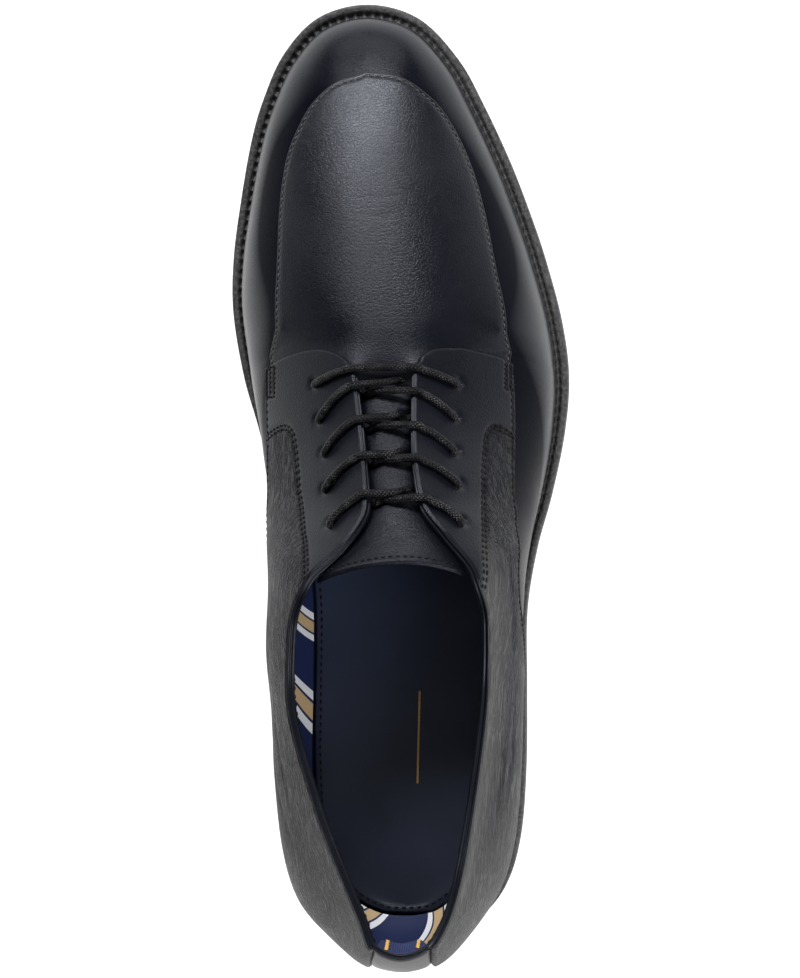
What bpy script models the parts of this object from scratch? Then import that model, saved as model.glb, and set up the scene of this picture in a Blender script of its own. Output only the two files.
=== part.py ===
"""A right dress shoe: a black derby with an apron front, a welted sole and five lace bars.

Frame: +X to the outer side of the foot, +Y to the toe, +Z up, floor at z = 0, metres.
The tables are in millimetres. A loop position counts the stations round the sole outline:
0 at the heel back, 19 at the toe tip on the outer side, and on to 38 along the inner side,
so a negative position is the inner side counted from the heel back.
"""
import math
from collections import namedtuple

import bmesh
import bpy
import numpy as np

MM = 0.001
UP = np.array((0.0, 0.0, 1.0))
# Middle of the shoe's box in the tables' plan, which becomes the part's origin
ORIGIN = np.array((-0.98, 0.95, 0.0))

# Layers and clearances
GAP = 0.3
OUTSOLE_THICK = 6.0
WELT_THICK = 3.2
INSOLE_RISE = 2.0
WALL = 1.8
APRON_THICK = 0.9
QUARTER_THICK = 1.7
STRIP_THICK = 0.8
TONGUE_THICK = 2.0
TONGUE_CLEAR = 0.6
TUCK_CLEAR = 1.3
THROAT_CLEAR = 2.8
TONGUE_HALF_WIDTH = 17.0
LACE_DIAMETER = 2.8
HEEL_INSET = 1.2
HEEL_BREAST = 5.25
TAB_THICK = 0.8
# Points nearer than this are one point, in metres
MERGE = 0.00001
SHARP_ANGLE = math.radians(40)

# Sole outline, one row for each station from the heel back to the toe tip
Outline = namedtuple("Outline", "outer_x outer_y inner_x inner_y")
OUTLINE = (
    (4.0, -149.0, 4.0, -149.0),
    (16.0, -146.5, -8.0, -147.0),
    (25.8, -138.5, -19.5, -139.5),
    (34.5, -127.5, -28.5, -128.5),
    (39.0, -112.0, -33.0, -113.0),
    (40.7, -90.0, -34.5, -90.0),
    (40.7, -65.0, -34.5, -65.0),
    (40.5, -41.0, -35.0, -40.0),
    (43.5, -21.0, -37.5, -20.0),
    (48.0, -4.0, -41.5, -2.0),
    (52.0, 16.0, -46.5, 17.0),
    (53.3, 34.0, -51.5, 34.0),
    (51.0, 52.0, -55.0, 55.0),
    (46.0, 71.0, -54.8, 73.0),
    (41.0, 86.0, -52.3, 91.0),
    (34.5, 103.0, -48.8, 109.0),
    (26.2, 121.0, -44.6, 122.5),
    (18.2, 135.5, -37.5, 137.0),
    (6.0, 147.8, -26.0, 148.3),
    (-10.0, 152.2, -10.0, 152.2),
)
TOE = len(OUTLINE) - 1
LOOP = 2 * TOE

# Height of the welt's top along the shoe: heel seat, arch, flat ball and toe spring
Profile = namedtuple("Profile", "y welt_top")
PROFILE = (
    (-150.0, 29.0),
    (-95.0, 28.6),
    (-70.0, 26.0),
    (-40.0, 19.8),
    (-10.0, 13.6),
    (15.0, 10.6),
    (36.0, 9.5),
    (76.0, 9.5),
    (100.0, 11.3),
    (125.0, 15.3),
    (152.0, 21.5),
)

# Ribs of the rear half, each from the feather line up to the collar or the facing edge
Rear = namedtuple("Rear", "position extension bulge rise top_x top_y top_z slope reach bow")
REAR = (
    (-11.0, 4.2, 5.5, 20.0, -9.4, 37.5, 65.0, 31.0, 24.0, 15.0),
    (-10.0, 3.8, 9.0, 21.0, -5.5, 13.0, 74.5, 37.0, 27.0, 4.0),
    (-9.2, 3.4, 11.5, 22.0, -3.2, -6.0, 85.5, 41.0, 27.0, 0.0),
    (-8.6, 3.2, 10.5, 22.0, -10.5, -19.0, 89.0, 45.0, 27.0, 0.0),
    (-8.0, 3.0, 8.5, 22.0, -20.4, -28.6, 88.6, 50.0, 27.0, 0.0),
    (-7.0, 3.0, 6.5, 22.0, -26.3, -43.0, 82.0, 56.0, 26.0, 0.0),
    (-6.0, 3.0, 6.5, 22.0, -27.6, -62.0, 77.0, 62.0, 25.0, 0.0),
    (-4.5, 3.0, 8.5, 22.0, -19.3, -95.0, 81.3, 64.0, 25.0, 0.0),
    (-3.0, 2.8, 9.5, 23.0, -9.5, -118.5, 87.3, 66.0, 25.0, 0.0),
    (-2.0, 2.6, 7.0, 24.0, -4.5, -129.5, 89.5, 66.0, 26.0, 0.0),
    (-1.0, 2.5, 5.0, 24.0, -0.5, -138.5, 91.0, 66.0, 26.0, 0.0),
    (0.0, 2.5, 4.5, 24.0, 7.0, -141.2, 91.0, 66.0, 26.0, 0.0),
    (1.0, 3.0, 2.5, 24.0, 14.5, -138.5, 91.0, 66.0, 26.0, 0.0),
    (2.0, 3.5, 1.5, 24.0, 19.5, -131.0, 89.5, 66.0, 26.0, 0.0),
    (3.0, 3.8, 2.5, 23.0, 23.0, -120.0, 87.0, 67.0, 25.0, 0.0),
    (4.5, 3.8, 3.5, 22.0, 26.7, -98.0, 80.5, 68.0, 24.0, 0.0),
    (6.0, 3.6, 4.0, 22.0, 30.8, -62.0, 76.0, 66.0, 23.0, 0.0),
    (7.0, 3.4, 5.0, 22.0, 31.5, -42.0, 81.0, 58.0, 25.0, 0.0),
    (8.0, 3.4, 4.5, 22.0, 28.4, -26.5, 88.5, 50.0, 27.0, 0.0),
    (8.6, 3.5, 4.5, 22.0, 20.0, -15.5, 88.5, 45.0, 27.0, 0.0),
    (9.2, 3.6, 4.5, 22.0, 12.3, -5.0, 85.3, 40.0, 27.0, 0.0),
    (10.0, 4.0, 4.0, 21.0, 8.8, 15.0, 74.0, 36.0, 27.0, 4.0),
    (11.0, 4.3, 3.5, 20.0, 8.3, 37.0, 65.0, 30.0, 24.0, 15.0),
)
THROAT = REAR[-1][0]
FACING_TOP = 9.2

# Ribs of the vamp, from the outer side round the toe to the inner side
Front = namedtuple("Front", "position extension bulge rise reach bow")
FRONT = (
    (11.5, 4.4, 3.5, 20.0, 24.0, 14.0),
    (13.0, 4.4, 3.0, 20.0, 22.0, 5.0),
    (15.0, 4.3, 2.5, 18.0, 21.0, 0.0),
    (17.0, 4.3, 2.3, 15.0, 23.0, 0.0),
    (19.0, 4.5, 2.0, 13.0, 28.0, 0.0),
    (21.0, 4.8, 2.3, 15.0, 24.0, 0.0),
    (23.0, 4.6, 3.0, 19.0, 23.0, 0.0),
    (25.0, 4.4, 3.5, 21.0, 24.0, 5.0),
    (26.5, 4.3, 4.5, 21.0, 25.0, 14.0),
)

# Ridge of the vamp, from the throat to the pole where the toe ribs meet
Ridge = namedtuple("Ridge", "station x y z")
RIDGE = (
    (11.5, -0.3, 41.5, 63.7),
    (14.0, -2.6, 62.0, 58.6),
    (16.5, -4.8, 83.0, 53.4),
    (19.0, -6.5, 98.0, 49.6),
)

# Fraction of each rib at the apron seam in front and at the quarter's lower seam behind
Seam = namedtuple("Seam", "position fraction")
SEAM = (
    (-11.0, 0.42),
    (-10.0, 0.38),
    (-9.0, 0.36),
    (-7.5, 0.38),
    (-6.0, 0.36),
    (6.0, 0.36),
    (7.5, 0.42),
    (9.0, 0.47),
    (10.0, 0.49),
    (11.5, 0.47),
    (13.0, 0.435),
    (14.5, 0.39),
    (15.6, 0.36),
    (16.4, 0.39),
    (17.0, 0.443),
    (18.0, 0.525),
    (19.0, 0.605),
    (20.0, 0.548),
    (21.0, 0.483),
    (22.5, 0.425),
    (24.0, 0.47),
    (25.3, 0.49),
    (26.5, 0.465),
    (27.0, 0.42),
)
SEAM_ROW = 4
TOP_ROW = 11
BOW_DROP = 0.35

# The quarter's lower edge runs down to the feather line between these stations
QUARTER_DROP = (6.5, 6.75, 7.0, 7.25, 7.5)
STRIP_EDGE = 1.0

# How far the panels' edges draw back from the grid's lines, as shares of a grid step
FOOT_SHARE = 0.35
STRIP_SHARE = 0.08
APRON_SHARE = 0.16
TAB_SHARE = 0.25

# Tongue sections from its tucked front end to the top of the facings, and its free top end beyond them
Section = namedtuple("Section", "station clear")
TONGUE_TUCK = (
    (13.0, TUCK_CLEAR),
    (12.5, TUCK_CLEAR),
    (12.0, TUCK_CLEAR),
    (11.5, TUCK_CLEAR),
)
TONGUE_FACING = (
    (11.0, THROAT_CLEAR),
    (10.5, TONGUE_CLEAR),
    (10.0, TONGUE_CLEAR),
    (9.6, TONGUE_CLEAR),
    (9.2, TONGUE_CLEAR),
)
TopEnd = namedtuple("TopEnd", "share width")
TONGUE_TOP = (
    (0.35, 1.0),
    (0.7, 0.98),
    (1.0, 0.9),
)
TONGUE_TOP_REACH = np.array((4.8, -17.5, 11.0))
TONGUE_SPANS = 10

# Lace holes in plan, a row for each bar from the toe up
Holes = namedtuple("Holes", "inner_x inner_y outer_x outer_y")
HOLES = (
    (-22.3, 30.4, 21.4, 30.4),
    (-20.6, 19.7, 21.1, 20.0),
    (-18.6, 9.0, 21.4, 9.4),
    (-17.7, -1.6, 23.0, -0.6),
    (-16.0, -12.4, 24.3, -11.8),
)

# Lace runs: how far each point lies toward the toe from its hole, and its lift over the gap
Run = namedtuple("Run", "half_way edge middle far_side middle_lift far_lift")
INNER_RUN = Run(7.0, 10.5, 11.8, 12.4, 0.9, -0.2)
OUTER_RUN = Run(4.8, 7.5, 8.8, 8.8, -0.9, -1.4)
FIRST_BAR = Run(4.6, 6.2, 7.4, 6.2, 1.0, 0.0)
HALF_WAY_SHARE = 0.6
FAR_SHARE = 0.8
SEARCH_STEPS = 30

# Colour and roughness of each material
FINISHES = {
    "outsole": ((0.016, 0.016, 0.018), 0.62),
    "heel": ((0.015, 0.015, 0.016), 0.6),
    "welt": ((0.03, 0.03, 0.032), 0.6),
    "insole": ((0.018, 0.022, 0.045), 0.7),
    "upper": ((0.012, 0.012, 0.014), 0.34),
    "apron": ((0.013, 0.013, 0.015), 0.36),
    "quarter": ((0.014, 0.014, 0.016), 0.42),
    "strip": ((0.014, 0.014, 0.016), 0.4),
    "tongue": ((0.016, 0.016, 0.019), 0.45),
    "lace": ((0.02, 0.02, 0.021), 0.55),
    "tab": ((0.012, 0.016, 0.04), 0.8),
}


def slopes_of(place, value):
    """Slopes of a monotone cubic through the points of one table column."""
    step = np.diff(place)
    secant = np.diff(value) / step
    slope = np.zeros(len(place))
    slope[0] = secant[0]
    slope[-1] = secant[-1]
    for i in range(1, len(place) - 1):
        if secant[i - 1] * secant[i] > 0.0:
            before = 2.0 * step[i] + step[i - 1]
            after = step[i] + 2.0 * step[i - 1]
            slope[i] = (before + after) / (before / secant[i - 1] + after / secant[i])
    return slope


def reader(row_type, rows):
    """A function that reads a whole row smoothly at a place in the table's first column."""
    data = np.array(rows)
    place = data[:, 0]
    slopes = [slopes_of(place, data[:, k]) for k in range(1, data.shape[1])]

    def read(at):
        i = int(np.clip(np.searchsorted(place, at) - 1, 0, len(place) - 2))
        step = place[i + 1] - place[i]
        t = min(max((at - place[i]) / step, 0.0), 1.0)
        start = (1.0 + 2.0 * t) * (1.0 - t) ** 2
        end = t * t * (3.0 - 2.0 * t)
        leave = t * (1.0 - t) ** 2 * step
        arrive = t * t * (t - 1.0) * step
        values = [start * data[i, k] + end * data[i + 1, k] + leave * slope[i] + arrive * slope[i + 1]
                  for k, slope in enumerate(slopes, start=1)]
        return row_type(at, *values)

    return read


read_profile = reader(Profile, PROFILE)
read_rear = reader(Rear, REAR)
read_front = reader(Front, FRONT)
read_ridge = reader(Ridge, RIDGE)
read_seam = reader(Seam, SEAM)


def outline_points():
    """The closed sole outline, one point for each loop position."""
    rows = [Outline(*row) for row in OUTLINE]
    outer = [(row.outer_x, row.outer_y) for row in rows]
    inner = [(row.inner_x, row.inner_y) for row in rows[TOE - 1:0:-1]]
    return np.array(outer + inner)


LOOP_POINTS = outline_points()


def outline(position):
    """Point of the sole outline and its outward direction, both in plan."""
    base = math.floor(position)
    t = position - base
    a, b, c, d = (LOOP_POINTS[(base + k) % LOOP] for k in (-1, 0, 1, 2))
    point = 0.5 * (2 * b + (c - a) * t + (2 * a - 5 * b + 4 * c - d) * t ** 2 + (3 * b - a - 3 * c + d) * t ** 3)
    along = 0.5 * ((c - a) + 2 * (2 * a - 5 * b + 4 * c - d) * t + 3 * (3 * b - a - 3 * c + d) * t ** 2)
    outward = np.array((along[1], -along[0])) / np.hypot(*along)
    return point, outward


def welt_top(y):
    return read_profile(y).welt_top


def extension(position):
    """How far the welt stands out beyond the upper at a loop position."""
    if position > LOOP - THROAT:
        position -= LOOP
    if position <= THROAT:
        return read_rear(position).extension
    return read_front(position).extension


def inset_point(position, inset):
    """Point of the sole outline moved in by a distance."""
    point, outward = outline(position)
    return point - outward * inset


def ridge(position):
    """Point of the vamp's ridge and its fall towards the toe."""
    station = min(position, LOOP - position)
    probe = 0.1
    here = read_ridge(station)
    near = read_ridge(station - probe)
    far = read_ridge(station + probe)
    fall = (far.z - near.z) / (far.y - near.y)
    return np.array((here.x, here.y, here.z)), fall


def rib(position):
    """The four control points of the rib at a loop position, feather line first."""
    sole, outward = outline(position)
    if position <= THROAT:
        row = read_rear(position)
        top = np.array((row.top_x, row.top_y, row.top_z))
        angle = math.radians(row.slope)
        fall = 0.0
        drop = BOW_DROP
    else:
        row = read_front(position)
        top, fall = ridge(position)
        angle = 0.0
        drop = -fall
    plan = sole - outward * row.extension
    foot = np.array((plan[0], plan[1], welt_top(plan[1]) + GAP))
    flat = (foot - top) * (1.0, 1.0, 0.0)
    flat /= np.linalg.norm(flat)
    lean = flat * math.cos(angle) + UP * (fall * flat[1] * math.cos(angle) - math.sin(angle))
    low = foot + np.array((outward[0], outward[1], 0.0)) * row.bulge + UP * row.rise
    high = top + lean * row.reach + np.array((0.0, 1.0, -drop)) * row.bow
    return foot, low, high, top


def last_point(position, fraction):
    """Point of the upper's outer surface, a fraction of the way up the rib."""
    foot, low, high, top = rib(position)
    t = fraction
    return (1 - t) ** 3 * foot + 3 * t * (1 - t) ** 2 * low + 3 * t * t * (1 - t) * high + t ** 3 * top


def last_normal(position, fraction):
    """Outward normal of the upper's surface."""
    probe = 0.01
    limit = THROAT if position <= THROAT else LOOP
    after = min(position + probe, limit)
    low = min(fraction, 1.0 - probe)
    along = last_point(after, fraction) - last_point(after - 2 * probe, fraction)
    up = last_point(position, low + probe) - last_point(position, low)
    normal = np.cross(along, up)
    return normal / np.linalg.norm(normal)


def last_place(side, x, y):
    """Loop position and fraction of the quarter's point above a place in plan."""
    start_station, start_fraction = 10.0, 0.8
    lowest_station, lowest_fraction = 8.0, 0.4
    place = np.array((side * start_station, start_fraction))
    probe = 0.001
    for _ in range(SEARCH_STEPS):
        here = last_point(*place)[0:2]
        along = (last_point(place[0] + probe, place[1])[0:2] - here) / probe
        up = (last_point(place[0], place[1] + probe)[0:2] - here) / probe
        place = place + np.linalg.solve(np.column_stack((along, up)), np.array((x, y)) - here)
        place[0] = side * min(max(abs(place[0]), lowest_station), THROAT - 2 * probe)
        place[1] = min(max(place[1], lowest_fraction), 1.0)
    return place


def row_fraction(position, row):
    """Fraction of a grid row: rows gather on the seam."""
    seam = read_seam(position).fraction
    if row <= SEAM_ROW:
        return seam * row / SEAM_ROW
    return seam + (1.0 - seam) * (row - SEAM_ROW) / (TOP_ROW - SEAM_ROW)


def column_positions():
    """Loop positions of the grid's columns, from the inner facing round heel and toe."""
    outer = sorted(set([0.5 * k for k in range(1, int(2 * THROAT) + 1)]) | set(QUARTER_DROP))
    rear = [-p for p in reversed(outer)] + [0.0] + outer
    front = [0.5 * k for k in range(int(2 * THROAT) + 1, int(2 * (LOOP - THROAT)))]
    return rear + front


COLUMNS = column_positions()


def to_metres(point):
    """A point of the tables' frame in the part's frame."""
    return (np.asarray(point, dtype=float) - ORIGIN) * MM


def new_object(name, mesh, finish):
    """Add a mesh to the shoe as a named piece with its own material."""
    colour, roughness = FINISHES[finish]
    material = bpy.data.materials.new(name)
    material.use_nodes = True
    shader = material.node_tree.nodes["Principled BSDF"]
    shader.inputs["Base Color"].default_value = (*colour, 1.0)
    shader.inputs["Roughness"].default_value = roughness
    shader.inputs["Metallic"].default_value = 0.0
    mesh.materials.append(material)
    mesh.shade_smooth()
    mesh.set_sharp_from_angle(angle=SHARP_ANGLE)
    piece = bpy.data.objects.new(name, mesh)
    PARTS.objects.link(piece)
    return piece


def weld(mesh):
    """Join points that coincide, drop faces without area, turn the faces to agree and split them."""
    shape = bmesh.new()
    shape.from_mesh(mesh)
    bmesh.ops.remove_doubles(shape, verts=shape.verts, dist=MERGE)
    bmesh.ops.dissolve_degenerate(shape, edges=shape.edges, dist=MERGE)
    bmesh.ops.recalc_face_normals(shape, faces=shape.faces)
    bmesh.ops.triangulate(shape, faces=shape.faces)
    shape.to_mesh(mesh)
    shape.free()


def mesh_from(name, points, faces):
    """A welded mesh from points in millimetres."""
    mesh = bpy.data.meshes.new(name)
    mesh.from_pydata([tuple(to_metres(p)) for p in points], [], faces)
    weld(mesh)
    return mesh


def thicken(piece, thickness, offset):
    """Give an open surface its wall: offset -1 grows inward, 1 outward."""
    wall = piece.modifiers.new("wall", "SOLIDIFY")
    wall.thickness = thickness * MM
    wall.offset = offset
    wall.use_even_offset = True
    wall.use_rim = True


class Grid:
    """The upper's surface as points and normals, columns by rows."""

    def __init__(self):
        self.points = np.array([[last_point(p, row_fraction(p, row)) for row in range(TOP_ROW + 1)]
                                for p in COLUMNS])
        self.normals = self.vertex_normals()

    def vertex_normals(self):
        """Mean normal of the triangles at each point, with the ridge points shared."""
        total = np.zeros_like(self.points)
        for corners in self.triangles(range(len(COLUMNS)), lambda column: 0):
            a, b, c = (self.points[i] for i in corners)
            face = np.cross(b - a, c - a)
            for i in corners:
                total[i] += face
        for column, position in enumerate(COLUMNS):
            twin = self.twin(position)
            if twin is not None and column < twin:
                shared = total[column, TOP_ROW] + total[twin, TOP_ROW]
                total[column, TOP_ROW] = shared
                total[twin, TOP_ROW] = shared
        return total / np.linalg.norm(total, axis=2, keepdims=True)

    @staticmethod
    def twin(position):
        """Column across the ridge from a vamp column."""
        if position <= THROAT or position == TOE:
            return None
        return COLUMNS.index(LOOP - position)

    @staticmethod
    def triangles(columns, lowest):
        """Triangles between neighbouring columns, from each column's lowest row up."""
        columns = list(columns)
        for left, right in zip(columns, columns[1:] + columns[:1]):
            if right != (left + 1) % len(COLUMNS):
                continue
            rising = 0 <= COLUMNS[left] < TOE
            for row in range(TOP_ROW):
                a, b = (left, row), (right, row)
                c, d = (right, row + 1), (left, row + 1)
                halves = ((a, b, c), (a, c, d)) if rising else ((a, b, d), (b, c, d))
                for half in halves:
                    if all(corner[1] >= lowest(corner[0]) for corner in half):
                        yield half

    def surface(self, name, columns, lowest, lift, place=None):
        """Part of the surface as an open mesh, lifted along its normals."""
        faces = []
        points = []
        index = {}
        for half in self.triangles(columns, lowest):
            for corner in half:
                if corner not in index:
                    index[corner] = len(points)
                    base = place(corner) if place else self.points[corner]
                    points.append(base + self.normals[corner] * lift)
            faces.append([index[corner] for corner in half])
        return mesh_from(name, points, faces)

    def between(self, corner, other, share):
        """A point a share of the way from one grid point to another."""
        return self.points[corner] * (1.0 - share) + self.points[other] * share


def face_outward(mesh, seed):
    """Turn an open mesh so that its normals point away from a place inside the shoe."""
    middle = to_metres(seed)
    votes = sum(np.dot(np.array(f.normal), np.array(f.center) - middle) * f.area for f in mesh.polygons)
    if votes < 0.0:
        mesh.flip_normals()


INSIDE = (0.0, 0.0, 30.0)


def quarter_lowest(column):
    """Lowest grid row of a quarter at a column: the seam in front, the feather line behind."""
    station = abs(COLUMNS[column])
    if station >= QUARTER_DROP[-1]:
        return SEAM_ROW
    if station <= QUARTER_DROP[0]:
        return 0
    return QUARTER_DROP.index(station)


def make_upper(grid):
    mesh = grid.surface("upper", range(len(COLUMNS)), lambda column: 0, 0.0)
    face_outward(mesh, INSIDE)
    thicken(new_object("upper", mesh, "upper"), WALL, -1.0)


def make_quarter(grid, name, side):
    """One quarter, from the heel strip to its front edge over the vamp."""
    stations = [i for i, p in enumerate(COLUMNS) if STRIP_EDGE <= side * p <= THROAT]

    def place(corner):
        if corner[1] == 0:
            return grid.between(corner, (corner[0], 1), FOOT_SHARE)
        return grid.points[corner]

    mesh = grid.surface(name, stations, quarter_lowest, GAP, place)
    face_outward(mesh, INSIDE)
    thicken(new_object(name, mesh, "quarter"), QUARTER_THICK, 1.0)


def make_heel_strip(grid):
    """The strip down the heel back, clear of the quarters' rear edges."""
    stations = [i for i, p in enumerate(COLUMNS) if abs(p) <= STRIP_EDGE]

    def place(corner):
        column, row = corner
        toward = 1 if column == stations[0] else -1
        if row == 0:
            point = grid.between(corner, (column, 1), FOOT_SHARE)
        else:
            point = grid.points[corner]
        if column in (stations[0], stations[-1]):
            beside = grid.points[column + toward, max(row, 1)]
            point = point * (1.0 - STRIP_SHARE) + beside * STRIP_SHARE
        return point

    mesh = grid.surface("heel_strip", stations, lambda column: 0, GAP, place)
    face_outward(mesh, INSIDE)
    thicken(new_object("heel_strip", mesh, "strip"), STRIP_THICK, 1.0)


def make_apron(grid):
    """The plug on top of the vamp, from the seam to the ridge, ending at the quarters."""
    first = COLUMNS.index(THROAT)
    stations = list(range(first, len(COLUMNS))) + [0]

    def place(corner):
        column, row = corner
        if column == first:
            return grid.between(corner, (column + 1, row), APRON_SHARE)
        if column == 0:
            return grid.between(corner, (len(COLUMNS) - 1, row), APRON_SHARE)
        return grid.points[corner]

    mesh = grid.surface("apron", stations, lambda column: SEAM_ROW, GAP, place)
    face_outward(mesh, INSIDE)
    thicken(new_object("apron", mesh, "apron"), APRON_THICK, 1.0)


def resample(path, spans, half_width):
    """Points evenly spaced along a path, centred on its middle."""
    path = np.array(path)
    length = np.concatenate(((0.0,), np.cumsum(np.linalg.norm(np.diff(path, axis=0), axis=1))))
    middle = length[-1] / 2.0
    wanted = np.linspace(middle - half_width, middle + half_width, spans + 1)
    return np.column_stack([np.interp(wanted, length, path[:, k]) for k in range(3)])


def tongue_section(outer, inner, clear):
    """Section of the tongue under two facing ribs, bridging the gap between them."""
    depth = WALL + clear
    fractions = np.linspace(0.5, 1.0, 9)
    wing_a = [last_point(outer, f) - last_normal(outer, f) * depth for f in fractions]
    wing_b = [last_point(inner, f) - last_normal(inner, f) * depth for f in fractions]
    gap = np.linalg.norm(wing_a[-1] - wing_b[-1])
    leave_a = (wing_a[-1] - wing_a[-2]) / np.linalg.norm(wing_a[-1] - wing_a[-2]) * gap / 3.0
    leave_b = (wing_b[-1] - wing_b[-2]) / np.linalg.norm(wing_b[-1] - wing_b[-2]) * gap / 3.0
    bridge = []
    for t in (0.2, 0.4, 0.6, 0.8):
        bridge.append((1 - t) ** 3 * wing_a[-1] + 3 * t * (1 - t) ** 2 * (wing_a[-1] + leave_a)
                      + 3 * t * t * (1 - t) * (wing_b[-1] + leave_b) + t ** 3 * wing_b[-1])
    return wing_a + bridge + wing_b[::-1]


def make_tongue():
    """The tongue: tucked under the vamp, under the facings, and free at its top."""
    paths = []
    for row in TONGUE_TUCK:
        section = Section(*row)
        paths.append(tongue_section(section.station, LOOP - section.station, section.clear))
    for row in TONGUE_FACING:
        section = Section(*row)
        paths.append(tongue_section(section.station, -section.station, section.clear))
    sections = [resample(path, TONGUE_SPANS, TONGUE_HALF_WIDTH) for path in paths]
    last = sections[-1]
    middle = last[TONGUE_SPANS // 2]
    for row in TONGUE_TOP:
        end = TopEnd(*row)
        sections.append(middle + (last - middle) * end.width + TONGUE_TOP_REACH * end.share)
    points = np.concatenate(sections)
    wide = TONGUE_SPANS + 1
    faces = []
    for row in range(len(sections) - 1):
        for k in range(TONGUE_SPANS):
            a = row * wide + k
            faces.append((a, a + 1, a + wide + 1))
            faces.append((a, a + wide + 1, a + wide))
    mesh = mesh_from("tongue", points, faces)
    face_outward(mesh, INSIDE)
    thicken(new_object("tongue", mesh, "tongue"), TONGUE_THICK, -1.0)


def plate(name, finish, positions, inset, bottom, top):
    """A plate across the shoe between the two sides of the outline, its heights read from y."""
    outer = [inset_point(p, inset(p)) for p in positions]
    inner = [inset_point(-p, inset(-p)) for p in positions]
    points = []
    for height in (bottom, top):
        for side in (outer, inner):
            points += [(x, y, height(y)) for x, y in side]
    count = len(positions)
    faces = []
    for i in range(count - 1):
        a, b = i, i + 1
        faces.append((a, b, count + b, count + a))
        faces.append((2 * count + a, 2 * count + b, 3 * count + b, 3 * count + a))
        faces.append((a, b, 2 * count + b, 2 * count + a))
        faces.append((count + a, count + b, 3 * count + b, 3 * count + a))
    if positions[-1] < TOE:
        end = count - 1
        faces.append((end, count + end, 3 * count + end, 2 * count + end))
    new_object(name, mesh_from(name, points, faces), finish)


def sole_stations(last):
    """Stations from the heel back to a last one, half a station apart."""
    steps = [0.5 * k for k in range(int(2 * last) + 1)]
    if steps[-1] < last:
        steps.append(last)
    return steps


def make_sole():
    """Outsole, heel block and insole."""
    whole = WELT_THICK + GAP + OUTSOLE_THICK
    plate("outsole", "outsole", sole_stations(TOE), lambda p: 0.0,
          lambda y: welt_top(y) - whole, lambda y: welt_top(y) - whole + OUTSOLE_THICK)
    plate("heel", "heel", sole_stations(HEEL_BREAST), lambda p: HEEL_INSET,
          lambda y: 0.0, lambda y: welt_top(y) - whole - GAP)
    plate("insole", "insole", sole_stations(TOE), lambda p: extension(p % LOOP) + WALL + 2 * GAP,
          lambda y: welt_top(y) - WELT_THICK, lambda y: welt_top(y) + INSOLE_RISE)


def make_welt():
    """The welt: a ring with a rim, a groove and a rail beside the upper."""
    rim_share, groove_share, rail_share = 0.5, 0.68, 0.86
    groove_depth = 0.9
    edge_drop = 0.4
    positions = [0.5 * k for k in range(2 * LOOP)]
    points = []
    for p in positions:
        reach = extension(p)
        profile = ((0.0, -WELT_THICK), (0.0, -edge_drop), (rim_share * reach, 0.0),
                   (groove_share * reach, -groove_depth), (rail_share * reach, 0.0),
                   (reach + WALL, 0.0), (reach + WALL, -WELT_THICK))
        for inset, height in profile:
            x, y = inset_point(p, inset)
            points.append((x, y, welt_top(y) + height))
    size = len(profile)
    faces = []
    for i in range(len(positions)):
        j = (i + 1) % len(positions)
        for k in range(size):
            m = (k + 1) % size
            faces.append((i * size + k, j * size + k, j * size + m))
            faces.append((i * size + k, j * size + m, i * size + m))
    new_object("welt", mesh_from("welt", points, faces), "welt")


def make_pull_tab(grid):
    """The ribbon tab inside the back of the collar."""
    stations = [i for i, p in enumerate(COLUMNS) if abs(p) <= STRIP_EDGE]

    def place(corner):
        if corner[1] == TOP_ROW:
            return grid.between(corner, (corner[0], TOP_ROW - 1), TAB_SHARE)
        return grid.points[corner]

    mesh = grid.surface("pull_tab", stations, lambda column: TOP_ROW - 1, -(WALL + GAP), place)
    face_outward(mesh, INSIDE)
    thicken(new_object("pull_tab", mesh, "tab"), TAB_THICK, -1.0)


def facing_edge(side, y):
    """Loop position at which a facing's edge passes a place along the shoe."""
    low, high = FACING_TOP, THROAT
    for _ in range(SEARCH_STEPS):
        middle = (low + high) / 2.0
        if last_point(side * middle, 1.0)[1] < y:
            low = middle
        else:
            high = middle
    return side * (low + high) / 2.0


def over_quarter(position, fraction):
    """Centre of a lace lying on the quarter."""
    lift = GAP + QUARTER_THICK + 2 * GAP + LACE_DIAMETER / 2.0
    return last_point(position, fraction) + last_normal(position, fraction) * lift


def lace_run(side, x, y, run):
    """Centres of a lace run from its hole to the edge of its own facing."""
    edge_position = facing_edge(side, y + run.edge)
    edge = over_quarter(edge_position, 1.0)
    half_x = x + (edge[0] - x) * HALF_WAY_SHARE
    return [over_quarter(*last_place(side, x, y)),
            over_quarter(*last_place(side, half_x, y + run.half_way)),
            edge]


def across_gap(edge, side, hole_y, run):
    """Centres of a lace run over the gap, from its own facing's edge towards the other."""
    other = over_quarter(facing_edge(-side, hole_y + run.far_side), 1.0)
    middle = (edge + other) / 2.0
    far = edge + (other - edge) * FAR_SHARE
    middle[1] = hole_y + run.middle
    far[1] = hole_y + run.far_side
    return [middle + UP * run.middle_lift, far + UP * run.far_lift]


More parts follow.
